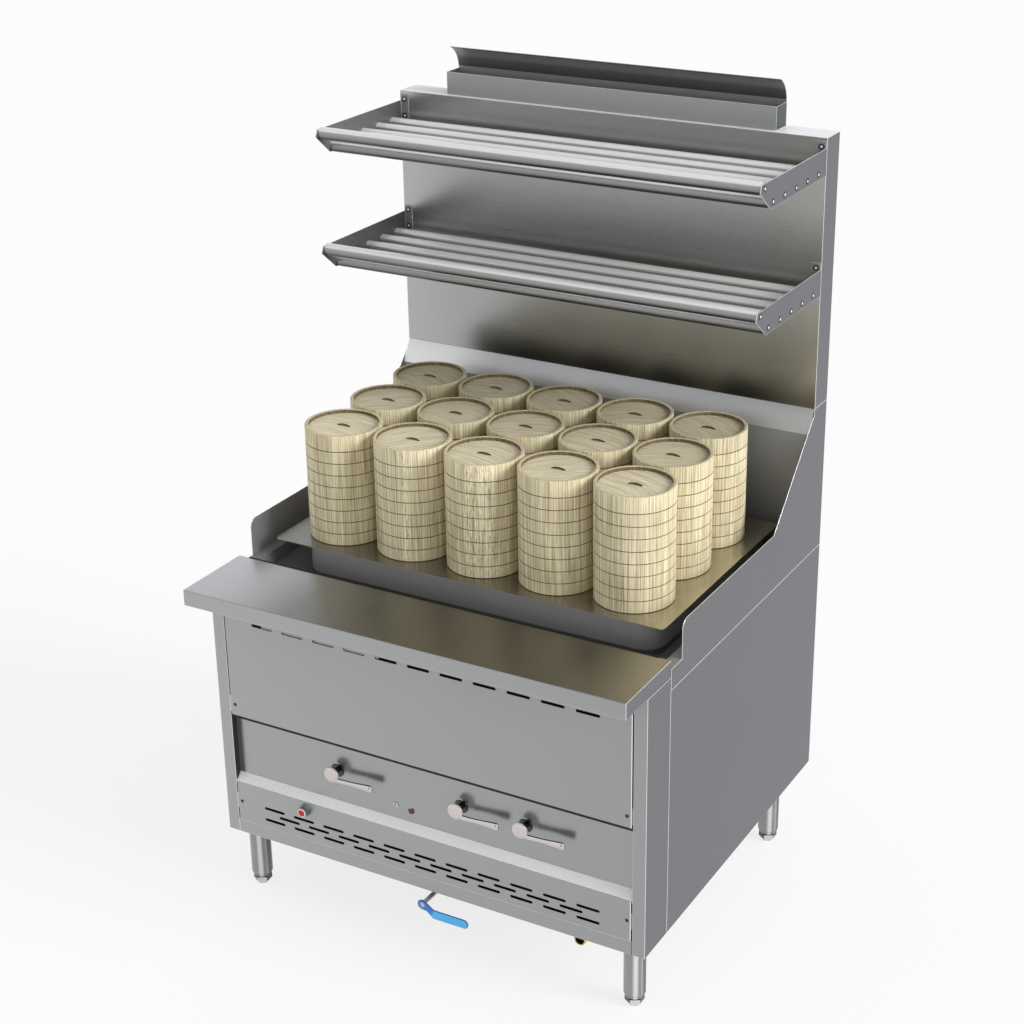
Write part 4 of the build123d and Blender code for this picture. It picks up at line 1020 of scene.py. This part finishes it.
knot_wide = vector_node(bamboo_fibre, "MULTIPLY", given.outputs["Place"], (15.0, 15.0, 0.6))
knot_fine = vector_node(bamboo_fibre, "MULTIPLY", given.outputs["Place"], (260.0, 260.0, 70.0))
knot_grain = noise_node(bamboo_fibre, knot_fine, 1.0, 3.0, 0.6)
knot_share = spread_node(bamboo_fibre, noise_node(bamboo_fibre, knot_wide, 1.0, 1.0, 0.4), 0.63, 0.75)
fibres = noise_node(bamboo_fibre, stretched, 1.0, 5.0, 0.7)
coarse = noise_node(bamboo_fibre, stretched, 0.22, 2.0, 0.5)
patches = noise_node(bamboo_fibre, given.outputs["Place"], 9.0, 2.0)
mixed = sum_node(bamboo_fibre, "ADD", sum_node(bamboo_fibre, "MULTIPLY", fibres, 1.30),
                 sum_node(bamboo_fibre, "SUBTRACT", sum_node(bamboo_fibre, "MULTIPLY", coarse, 0.14), 0.23))
knots = sum_node(
    bamboo_fibre, "MULTIPLY",
    sum_node(bamboo_fibre, "MULTIPLY", sum_node(bamboo_fibre, "SUBTRACT", knot_grain, 0.47), knot_share),
    sum_node(bamboo_fibre, "MULTIPLY", given.outputs["Patch"], 5.0))
mixed = sum_node(bamboo_fibre, "ADD", mixed, knots)
patched = sum_node(bamboo_fibre, "ADD", mixed, swing(bamboo_fibre, patches, given.outputs["Patch"]))
low_mix = bamboo_fibre.nodes.new("ShaderNodeMix")
low_mix.data_type = "RGBA"
high_mix = bamboo_fibre.nodes.new("ShaderNodeMix")
high_mix.data_type = "RGBA"
fibre_rough = sum_node(bamboo_fibre, "ADD", sum_node(bamboo_fibre, "MULTIPLY", fibres, 0.25), 0.45)
wire(bamboo_fibre, (spread_node(bamboo_fibre, patched, 0.32, 0.52), low_mix.inputs["Factor"]),
     (given.outputs["Dark"], low_mix.inputs["A"]), (given.outputs["Middle"], low_mix.inputs["B"]),
     (spread_node(bamboo_fibre, patched, 0.50, 0.68), high_mix.inputs["Factor"]),
     (low_mix.outputs["Result"], high_mix.inputs["A"]), (given.outputs["Light"], high_mix.inputs["B"]),
     (high_mix.outputs["Result"], result.inputs["Colour"]), (fibre_rough, result.inputs["Roughness"]),
     (fibres, result.inputs["Height"]))

plate_z = 0.835
basket_height = 0.0279
basket_radius = 0.0862
basket_wall = 0.007
basket_count = 8
stack_pitch = 0.1794
first_row_y = base_front_y + 0.1749 + 0.0265 + basket_radius
column_places = [(column - 2) * stack_pitch for column in range(5)]
row_places = [first_row_y + row * stack_pitch for row in range(3)]
hoop_bamboo = bamboo("hoop_bamboo", (250, 242, 212), (216, 204, 168), (150, 135, 98), "Object", (820, 820, 6),
                     0.13, joints=(plate_z, basket_height, 0.0009))
slat_bamboo = bamboo("slat_bamboo", (232, 214, 168), (206, 184, 134), (160, 134, 88), "Object",
                     (14, 420, 420), 0.2)

basket_tree, given, result = geometry_tree("bamboo_baskets", [
    ("Radius", "number"), ("Wall", "number"), ("Height", "number"), ("Rounding", "number"),
    ("Baskets", "count"), ("Slats", "count"), ("Slat Width", "number"), ("Slat Thickness", "number"),
    ("Hoop", "finish"), ("Slat", "finish")])


def tree_sum(tree, operation, first, second):
    """One step of arithmetic in a geometry tree."""
    return step(tree, "ShaderNodeMath", {0: first, 1: second}, operation=operation).outputs[0]


wall_section = step(basket_tree, "CurvePrimitiveQuadrilateral", {
    "Width": given["Wall"], "Height": tree_sum(basket_tree, "SUBTRACT", given["Height"], 0.0002)})
wall_section = step(basket_tree, "FilletCurve", {"Curve": wall_section.outputs[0],
                                                 "Radius": given["Rounding"], "Count": 1}, mode="POLY")
half_wall = tree_sum(basket_tree, "MULTIPLY", given["Wall"], 0.5)
wall_path = step(basket_tree, "CurvePrimitiveCircle", {
    "Resolution": 60, "Radius": tree_sum(basket_tree, "SUBTRACT", given["Radius"], half_wall)}, mode="RADIUS")
hoop = step(basket_tree, "CurveToMesh", {"Curve": wall_path.outputs["Curve"],
                                         "Profile Curve": wall_section.outputs[0]})
half_height = step(basket_tree, "ShaderNodeCombineXYZ", {
    "Z": tree_sum(basket_tree, "MULTIPLY", given["Height"], 0.5)})
hoop = step(basket_tree, "Transform", {"Geometry": hoop.outputs[0], "Translation": half_height.outputs[0]})
hoop = step(basket_tree, "SetMaterial", {"Geometry": hoop.outputs[0], "Material": given["Hoop"]})
inner_radius = tree_sum(basket_tree, "SUBTRACT", given["Radius"], given["Wall"])
first_slat = step(basket_tree, "ShaderNodeCombineXYZ", {
    "Y": tree_sum(basket_tree, "MULTIPLY", tree_sum(basket_tree, "MULTIPLY", tree_sum(
        basket_tree, "SUBTRACT", given["Slats"], 1.0), given["Slat Width"]), -0.5),
    "Z": tree_sum(basket_tree, "MULTIPLY", given["Slat Thickness"], 0.5)})
slat_step = step(basket_tree, "ShaderNodeCombineXYZ", {"Y": given["Slat Width"]})
slat_line = step(basket_tree, "MeshLine", {"Count": given["Slats"], "Start Location": first_slat.outputs[0],
                                           "Offset": slat_step.outputs[0]})
slat_at = step(basket_tree, "ShaderNodeSeparateXYZ", {0: step(basket_tree, "InputPosition").outputs[0]})
radius_squared = tree_sum(basket_tree, "MULTIPLY", inner_radius, inner_radius)
offset_squared = tree_sum(basket_tree, "MULTIPLY", slat_at.outputs["Y"], slat_at.outputs["Y"])
room = tree_sum(basket_tree, "MAXIMUM", tree_sum(basket_tree, "SUBTRACT", radius_squared, offset_squared), 0.0)
half_chord = tree_sum(basket_tree, "POWER", room, 0.5)
slat_size = step(basket_tree, "ShaderNodeCombineXYZ", {
    "X": tree_sum(basket_tree, "ADD", tree_sum(basket_tree, "MULTIPLY", half_chord, 2.0), 0.003),
    "Y": tree_sum(basket_tree, "MULTIPLY", given["Slat Width"], 0.82), "Z": given["Slat Thickness"]})
slat = step(basket_tree, "MeshCube", {"Size": (1, 1, 1)})
slat_row = step(basket_tree, "InstanceOnPoints", {"Points": slat_line.outputs[0], "Instance": slat.outputs[0],
                                                  "Scale": slat_size.outputs[0]})
slat_row = step(basket_tree, "SetMaterial", {"Geometry": slat_row.outputs[0], "Material": given["Slat"]})
basket_step = step(basket_tree, "ShaderNodeCombineXYZ", {"Z": given["Height"]})
basket_line = step(basket_tree, "MeshLine", {"Count": given["Baskets"], "Offset": basket_step.outputs[0]})
column = step(basket_tree, "InstanceOnPoints", {
    "Points": basket_line.outputs[0], "Instance": joined(basket_tree, hoop.outputs[0], slat_row.outputs[0])})
stacks = step(basket_tree, "InstanceOnPoints", {"Points": given["Places"], "Instance": column.outputs[0]})
stacks = step(basket_tree, "RealizeInstances", {"Geometry": stacks.outputs[0]})
wire(basket_tree, (stacks.outputs[0], result.inputs[0]))

for row_name, row_y in zip(("front", "middle", "back"), row_places):
    stack_row = grown(f"{row_name}_baskets", basket_tree, [(x, row_y, plate_z) for x in column_places], {
        "Radius": basket_radius, "Wall": basket_wall, "Height": basket_height, "Rounding": 0.0010,
        "Baskets": basket_count, "Slats": 13, "Slat Width": 0.0118, "Slat Thickness": 0.0036,
        "Hoop": hoop_bamboo, "Slat": slat_bamboo})
    fit(stack_row, "tray", [], "bamboo", f"{row_name}_basket_stacks")

# Lids: one on each stack, a bamboo hoop with its thin wooden top set in below
# the rim, and a small bent strip across the middle to lift it by.

lid_bottom = plate_z + basket_count * basket_height + 0.0003
lid_height = 0.037
lid_recess = 0.008
lid_top = 0.005
lid_rim = 0.008
lid_bore = basket_radius - basket_wall
deck_height = lid_height - lid_recess
deck_z = lid_bottom + deck_height
lid_profile = [
    (0.0, deck_height - lid_top), (lid_bore, deck_height - lid_top), (lid_bore, 0.0010),
    (lid_bore + 0.0010, 0.0), (basket_radius - 0.0012, 0.0), (basket_radius, 0.0012),
    (basket_radius, lid_height - 0.0016), (basket_radius - 0.0006, lid_height - 0.0005),
    (basket_radius - 0.0020, lid_height), (basket_radius - 0.0068, lid_height),
    (basket_radius - 0.0078, lid_height - 0.0006), (basket_radius - lid_rim, lid_height - 0.0014),
    (basket_radius - lid_rim, deck_height), (basket_radius * 0.5, deck_height), (0.0, deck_height),
]
grip_reach = 0.0165
grip_rise = 0.0034
grip_section = ((-0.0022, -0.0014), (0.0022, -0.0014), (0.0022, 0.0006), (-0.0022, 0.0006))
# The lids' hoops and tops are painted darker towards the back rows as shade.
lid_hoop = bamboo("lid_hoop", (250, 242, 212), (220, 208, 172), (154, 139, 102), "Object", (820, 820, 6),
                  0.13, back_row_shade=0.15)
lid_wood = bamboo("lid_wood", (252, 243, 214), (240, 228, 196), (190, 176, 140), "lid_place", (12, 520, 1),
                  0.0, bend=1.6, back_row_shade=0.32)
# Dark brown painted shade for the wall inside each lid's rim, also used on the grip's sides.
recess_shade_and_grip_side = bamboo("recess_shade_and_grip_side", (140, 127, 98), (112, 100, 74), (80, 69, 48), "Object", (520, 520, 16),
                     0.15)
grip_wood = bamboo("grip_wood", (96, 74, 44), (78, 58, 34), (52, 38, 22), "Object", (40, 600, 600), 0.1)
lid_places = [(x, y) for y in row_places for x in column_places]
for lid_number, (lid_x, lid_y) in enumerate(lid_places, 1):
    lid_shape = bmesh.new()
    for face in turned(lid_shape, lid_profile, (lid_x, lid_y, lid_bottom), "Z", 72):
        centre = face.calc_center_median()
        radius = math.hypot(centre.x - lid_x, centre.y - lid_y)
        set_in = radius < basket_radius - lid_rim + 0.0001 and centre.z > deck_z - 0.001
        face.material_index = (1 if abs(centre.z - deck_z) < 0.0001 else 2) if set_in else 0
    grip_rings = []
    for grip_step in range(9):
        share = grip_step / 4 - 1
        rise = grip_rise * (1 - share * share)
        grip_rings.append([(lid_x + grip_reach * share, lid_y + side, deck_z + rise + lift)
                           for side, lift in grip_section])
    for face in lofted(lid_shape, grip_rings):
        face.normal_update()
        face.material_index = 3 if face.normal.z > 0.5 else 2
    lid = new_piece(f"lid_{lid_number:02d}_bamboo", lid_shape)
    turn = math.radians(lid_number * 47 % 90 - 45)
    shift = (lid_number * 29 % 50 - 25) * 0.0024
    local = lid.data.attributes.new("lid_place", "FLOAT_VECTOR", "POINT")
    for vertex in lid.data.vertices:
        x, y = vertex.co.x - lid_x, vertex.co.y - lid_y
        local.data[vertex.index].vector = (x * math.cos(turn) - y * math.sin(turn) + shift,
                                           x * math.sin(turn) + y * math.cos(turn), lid_number * 3.7)
    fit(lid, f"lid_{lid_number:02d}", [lid_hoop, lid_wood, recess_shade_and_grip_side, grip_wood], "bamboo",
        f"lid_{lid_number:02d}")

# Fill spout: a small bent stainless pipe over the front of the well, which
# tops up the tank's water.

spout_shape = bmesh.new()
spout_low, spout_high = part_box("fill_spout")
spout_radius = 0.005
spout_x = (spout_low.x + spout_high.x) / 2
spout_z = spout_high.z - spout_radius
bend = 0.010
spout_line = [(spout_low.y, spout_z, 0), (spout_high.y - spout_radius - bend, spout_z, 0)]
for turn in range(1, 6):
    angle = math.radians(18 * turn)
    spout_line.append((spout_high.y - spout_radius - bend + bend * math.sin(angle),
                       spout_z - bend + bend * math.cos(angle), angle))
spout_line.append((spout_high.y - spout_radius, spout_low.z, math.radians(90)))
spout_rings = []
for y, z, angle in spout_line:
    ring = []
    for corner in range(20):
        around = 2 * math.pi * corner / 20
        side, lift = spout_radius * math.cos(around), spout_radius * math.sin(around)
        ring.append((spout_x + side, y + lift * math.sin(angle), z + lift * math.cos(angle)))
    spout_rings.append(ring)
lofted(spout_shape, spout_rings)
# The spout is painted dark underneath and light on top, as painted shade and light.
spout_steel = steel("spout_steel", [(0.0, (60, 60, 60)), (0.5, (110, 110, 110)), (1.0, (190, 190, 188))],
                    facing=(-0.3, -0.3, 0.9), brushing=(300, 300, 300),
                    roughness=0.3, metal=0.7)
fit(new_piece("spout_pipe", spout_shape, 50), "cabinet", [spout_steel], "polished_tube", "fill_spout")

# Backsplash and flue box: a tall folded box whose inside is the flue. The box on
# its top is an open trough, and its back curls forward over it as a hood.

# The backsplash carries a painted dark band of reflection and shade just above the lids, from near its left
# end to its right end.
splash_steel = steel("splash_steel", [(0.0, (176, 178, 178)), (0.12, (166, 168, 168)), (0.3, (160, 162, 161)),
                                      (0.9, (155, 156, 153)), (1.0, (164, 163, 158))], span=(-0.53, 0.53),
                     brushing=(10, 1300, 1300), lines=0.12, clouds=0.04, roughness=0.28, smears=0.02,
                     metal=0.92, waver=0.08, painted_dark_band=(1.105, 0.085, 0.30, -0.42))
flue_steel = steel("flue_steel", [(0.0, (152, 154, 155)), (1.0, (166, 168, 168))], along=(0, 0, 1),
                   span=(1.71, 1.762), brushing=(9, 800, 800), lines=0.08, roughness=0.42, metal=0.5)
# The box's top is painted near white as light.
box_top_painted_light = steel("box_top_painted_light", [(0.0, (248, 249, 250))], brushing=(7, 600, 600), lines=0.08,
                      roughness=0.4, metal=0.05)
# The hood's hollow is painted darker, black at the top, as shade.
hood_painted_shade = steel("hood_painted_shade", [(0.0, (74, 76, 76)), (0.45, (116, 118, 117)), (0.6, (150, 152, 151)),
                                  (0.9, (150, 152, 151)), (0.97, (40, 41, 41)), (1.0, (12, 12, 12))],
                   along=(0, 0, 1), span=(1.765, 1.8165), brushing=(9, 600, 600), lines=0.10, roughness=0.45,
                   metal=0.5)


def splash_faces(normal, centre):
    """Front, sides, and top of the backsplash box, and its inside."""
    middle_y = base_back_y - 0.036
    if abs(normal.x) > 0.8:
        return 1 if normal.x * centre.x > 0 else 3
    if normal.z > 0.8:
        return 2
    if abs(normal.y) > 0.8:
        if centre.y < middle_y and normal.y < 0:
            return 0
        return 1 if centre.y > middle_y and normal.y > 0 else 3
    return 3


def hood_faces(normal, centre):
    """The trough's outside, its inside and the hollow of the hood."""
    if centre.z > 1.764 and normal.y < 0.1:
        return 1
    return 0


fit(folded("backsplash", 0.0014, 3, pick=splash_faces, highlight_index=4), "cabinet",
    [splash_steel, side_steel_painted_shade, box_top_painted_light, inside_painted_shade, painted_edge_highlight], "sheet", "backsplash")
fit(folded("flue_box", 0.0005, pick=hood_faces, highlight_index=2), "cabinet", [flue_steel, hood_painted_shade, painted_edge_highlight],
    "sheet", "flue_box")

# Overshelves: two racks of polished round tube between nosed side brackets. The
# tubes' ends butt on the brackets and are screwed through them from outside.

splash_y = base_back_y - 0.0715


def bracket_faces(normal, centre):
    """A bracket's outside, its inside, its cut edge with painted highlight and its flange; inside and flange
    are painted lighter as light.
    """
    if abs(normal.x) > 0.8:
        return 0 if normal.x * centre.x > 0 else 1
    return 3 if normal.y < -0.8 and centre.y > splash_y - 0.012 else 2


# The brackets' inside faces and flange are painted lighter than the outside as light; the inside also darkens
# towards the back.
bracket_outside = steel("bracket_outside", [(0.0, (95, 96, 100))], brushing=(900, 9, 900), lines=0.06,
                        roughness=0.42, metal=0.5)
bracket_inside_painted_light = steel("bracket_inside_painted_light", [(0.0, (112, 113, 115)), (1.0, (92, 93, 95))], along=(0, 1, 0),
                       span=(0.08, 0.42), brushing=(900, 9, 900), lines=0.08, roughness=0.40, metal=0.3)
flange_painted_light = steel("flange_painted_light", [(0.0, (136, 138, 140))], brushing=(900, 9, 900), lines=0.08,
                     roughness=0.40, metal=0.1)
fit(folded("overshelf_brackets", 0.0005, pick=bracket_faces, highlight_index=2), "cabinet",
    [bracket_outside, bracket_inside_painted_light, painted_edge_highlight, flange_painted_light], "sheet", "overshelf_brackets")

tube_tree, given, result = geometry_tree("rack_tubes", [
    ("Length", "number"), ("Radius", "number"), ("Tube", "finish")])
tube_end = step(tube_tree, "ShaderNodeCombineXYZ", {"X": given["Length"]})
tube_line = step(tube_tree, "CurvePrimitiveLine", {"End": tube_end.outputs[0]})
tube_ring = step(tube_tree, "CurvePrimitiveCircle", {"Resolution": 48, "Radius": given["Radius"]},
                 mode="RADIUS")
tube = step(tube_tree, "CurveToMesh", {"Curve": tube_line.outputs[0],
                                       "Profile Curve": tube_ring.outputs["Curve"], "Fill Caps": True})
tube = step(tube_tree, "SetMaterial", {"Geometry": tube.outputs[0], "Material": given["Tube"]})
tubes = step(tube_tree, "InstanceOnPoints", {"Points": given["Places"], "Instance": tube.outputs[0]})
tubes = step(tube_tree, "RealizeInstances", {"Geometry": tubes.outputs[0]})
wire(tube_tree, (tubes.outputs[0], result.inputs[0]))

# The rails are painted by where a face looks: white highlights on top, dark shade underneath, as painted
# reflection.
tube_painted_highlights = [
    (0.0, (34, 35, 36)), (0.24, (40, 41, 42)), (0.32, (110, 111, 111)), (0.46, (140, 140, 138)),
    (0.64, (158, 158, 157)), (0.73, (180, 181, 181)), (0.77, (253, 253, 253)), (1.0, (253, 253, 253)),
]
polished_rail = steel("polished_rail", tube_painted_highlights, facing=(0, 0, 1),
                      brushing=(6, 500, 500), lines=0.02, clouds=0.03, roughness=0.2, smears=0.0, metal=0.4,
                      bump=0.0)
rack_heights = (1.362, 1.6275)
tube_radius = 0.0142
tube_pitch = 0.0609
nose_tube = (0.3283, 0.049)
back_tube = (0.0399, 0.0127)
tube_places = []
for shelf_z in rack_heights:
    tube_places.append((splash_y - nose_tube[0], shelf_z + nose_tube[1]))
    tube_places += [(splash_y - back_tube[0] - tube_pitch * row, shelf_z + back_tube[1]) for row in range(5)]
tube_low, tube_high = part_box("overshelf_tubes")
rack = grown("rack_tubes", tube_tree, [(tube_low.x, y, z) for y, z in tube_places], {
    "Length": tube_high.x - tube_low.x, "Radius": tube_radius, "Tube": polished_rail})
fit(rack, "cabinet", [], "polished_tube", "overshelf_tubes")

# Screws: a bright domed head over a dark washer at each tube's end and through
# each bracket's flange, and small black heads that hold the front panels.

screw_tree, given, result = geometry_tree("domed_screws", [
    ("Radius", "number"), ("Height", "number"), ("Washer Radius", "number"), ("Washer Height", "number"),
    ("Head", "finish"), ("Washer", "finish")])
dome = step(screw_tree, "MeshUVSphere", {"Segments": 12, "Rings": 8, "Radius": given["Radius"]})
flatten = step(screw_tree, "ShaderNodeCombineXYZ", {
    "X": 1.0, "Y": 1.0, "Z": tree_sum(screw_tree, "DIVIDE", given["Height"], given["Radius"])})
dome = step(screw_tree, "Transform", {"Geometry": dome.outputs[0], "Scale": flatten.outputs[0]})
dome = step(screw_tree, "SetMaterial", {"Geometry": dome.outputs[0], "Material": given["Head"]})
washer = step(screw_tree, "MeshCylinder", {"Vertices": 20, "Radius": given["Washer Radius"],
                                           "Depth": given["Washer Height"]})
washer = step(screw_tree, "SetMaterial", {"Geometry": washer.outputs[0], "Material": given["Washer"]})
facing = step(screw_tree, "InputNamedAttribute", {"Name": "facing"}, data_type="FLOAT_VECTOR")
turn_to = step(screw_tree, "FunctionNodeAlignRotationToVector", {"Vector": facing.outputs[0]}, axis="Z")
heads = step(screw_tree, "InstanceOnPoints", {
    "Points": given["Places"], "Instance": joined(screw_tree, dome.outputs[0], washer.outputs[0]),
    "Rotation": turn_to.outputs[0]})
heads = step(screw_tree, "RealizeInstances", {"Geometry": heads.outputs[0]})
wire(screw_tree, (heads.outputs[0], result.inputs[0]))

# The heads are painted lighter where they look up and forward and darker where they turn away: painted
# highlight and shade.
screw_white = speckled("screw_white", [(0.0, (150, 152, 154)), (0.6, (220, 221, 222)),
                                       (1.0, (246, 246, 246))], facing=(0, -0.4, 0.9), roughness=0.25)
screw_rim = speckled("screw_rim", [(0.0, (22, 22, 24)), (1.0, (34, 35, 37))], roughness=0.5)
bracket_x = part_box("overshelf_brackets")[1].x
screw_places = [(side * bracket_x, y, z) for side in (-1, 1) for y, z in tube_places]
screw_facing = [(side, 0, 0) for side in (-1, 1) for place in tube_places]
for shelf_z in rack_heights:
    for side in (-1, 1):
        for lift in (0.024, 0.063):
            screw_places.append((side * 0.521, splash_y - 0.0015, shelf_z + lift))
            screw_facing.append((0, -1, 0))
rack_screws = grown("rack_screws", screw_tree, screw_places, {
    "Radius": 0.0036, "Height": 0.00145, "Washer Radius": 0.0066, "Washer Height": 0.0012, "Head": screw_white,
    "Washer": screw_rim}, screw_facing)
fit(rack_screws, "cabinet", [], "dark_screw", "bracket_screws")

screw_black = speckled("screw_black", [(0.0, (10, 10, 10)), (1.0, (30, 30, 31))], facing=(0, -0.4, 0.9),
                       roughness=0.4)
panel_places = [(side * x, base_front_y, z) for side in (-1, 1) for x,
                z in ((0.490, 0.4945), (0.4915, 0.243))]
panel_heads = grown("panel_heads", screw_tree, panel_places, {
    "Radius": 0.0036, "Height": 0.0014, "Washer Radius": 0.0042, "Washer Height": 0.0005, "Head": screw_black,
    "Washer": screw_black}, [(0, -1, 0)] * len(panel_places))
fit(panel_heads, "cabinet", [], "dark_screw", "panel_screws")

# Studio: a white floor that takes the object's shadow, a pale sky that dims
# overhead, a broad lamp from the right, and the camera where the photograph's
# stood.

floor_shape = bmesh.new()
bmesh.ops.create_grid(floor_shape, x_segments=8, y_segments=8, size=60)
floor = new_piece("studio_floor", floor_shape)
floor_white, floor_tree, floor_shader = new_finish("floor_white")
floor_shader.inputs["Roughness"].default_value = 0.9
floor_shader.inputs["Specular IOR Level"].default_value = 0.0
floor_glow = floor_tree.nodes.new("ShaderNodeEmission")
floor_mix = floor_tree.nodes.new("ShaderNodeMixShader")
floor_rays = floor_tree.nodes.new("ShaderNodeLightPath")
floor_seen = sum_node(floor_tree, "MULTIPLY", sum_node(
    floor_tree, "MAXIMUM", floor_rays.outputs["Is Camera Ray"], floor_rays.outputs["Is Glossy Ray"]), 0.80)
floor_spots = noise_node(floor_tree, floor_tree.nodes.new("ShaderNodeTexCoord").outputs["Object"], 0.4, 2.0)
floor_colour = colour_ramp(floor_tree, floor_spots, [(0.0, (0.95, 0.95, 0.95, 1)),
                                                     (1.0, (0.97, 0.97, 0.97, 1))])
wire(floor_tree, (floor_seen, floor_mix.inputs["Fac"]), (floor_shader.outputs["BSDF"], floor_mix.inputs[1]),
     (floor_glow.outputs["Emission"], floor_mix.inputs[2]), (floor_colour, floor_shader.inputs["Base Color"]),
     (floor_mix.outputs["Shader"], floor_tree.nodes["Material Output"].inputs["Surface"]))
floor.data.materials.append(floor_white)

world = bpy.data.worlds.new("studio_sky")
bpy.context.scene.world = world
world.use_nodes = True
sky = world.node_tree
sky_light = sky.nodes["Background"]
sky_way = sky.nodes.new("ShaderNodeSeparateXYZ")
sky_stops = [(0.0, 0.9), (0.5, 0.95), (0.62, 0.92), (0.78, 0.55), (0.90, 0.42), (1.0, 0.60)]
wire(sky, (sky.nodes.new("ShaderNodeTexCoord").outputs["Generated"], sky_way.inputs[0]))
sky_share = spread_node(sky, sky_way.outputs["Z"], -1.0, 1.0)
sky_colour = colour_ramp(sky, sky_share, [(place, (level, level, level, 1)) for place, level in sky_stops])
wire(sky, (sky_colour, sky_light.inputs["Color"]))
sky_light.inputs["Strength"].default_value = 1.0

lamp = bpy.data.lights.new("right_lamp", "SUN")
lamp.energy = 2.6
lamp.angle = math.radians(30)
lamp_holder = bpy.data.objects.new("right_lamp", lamp)
lamp_holder.rotation_euler = Vector((-0.88, -0.05, -0.42)).to_track_quat("-Z", "Y").to_euler()
bpy.context.scene.collection.objects.link(lamp_holder)

camera = bpy.data.cameras.new("photo_camera")
camera.sensor_width = 36
camera.lens = 70.69
camera.shift_x = -0.0417
camera.shift_y = -0.0174
camera.clip_end = 200
yaw, pitch, roll = math.radians(28.790), math.radians(-23.247), math.radians(-0.414)
ahead = Vector((-math.sin(yaw) * math.cos(pitch), math.cos(yaw) * math.cos(pitch), math.sin(pitch)))
level_right = Vector((math.cos(yaw), math.sin(yaw), 0))
level_up = level_right.cross(ahead)
right = math.cos(roll) * level_right + math.sin(roll) * level_up
up = -math.sin(roll) * level_right + math.cos(roll) * level_up
camera_holder = bpy.data.objects.new("photo_camera", camera)
camera_holder.matrix_world = Matrix.Translation((2.0386, -3.5169, 2.6951)) @ Matrix(
    (right, up, -ahead)).transposed().to_4x4()
bpy.context.scene.collection.objects.link(camera_holder)
bpy.context.scene.camera = camera_holder
bpy.context.scene.view_settings.view_transform = "Standard"
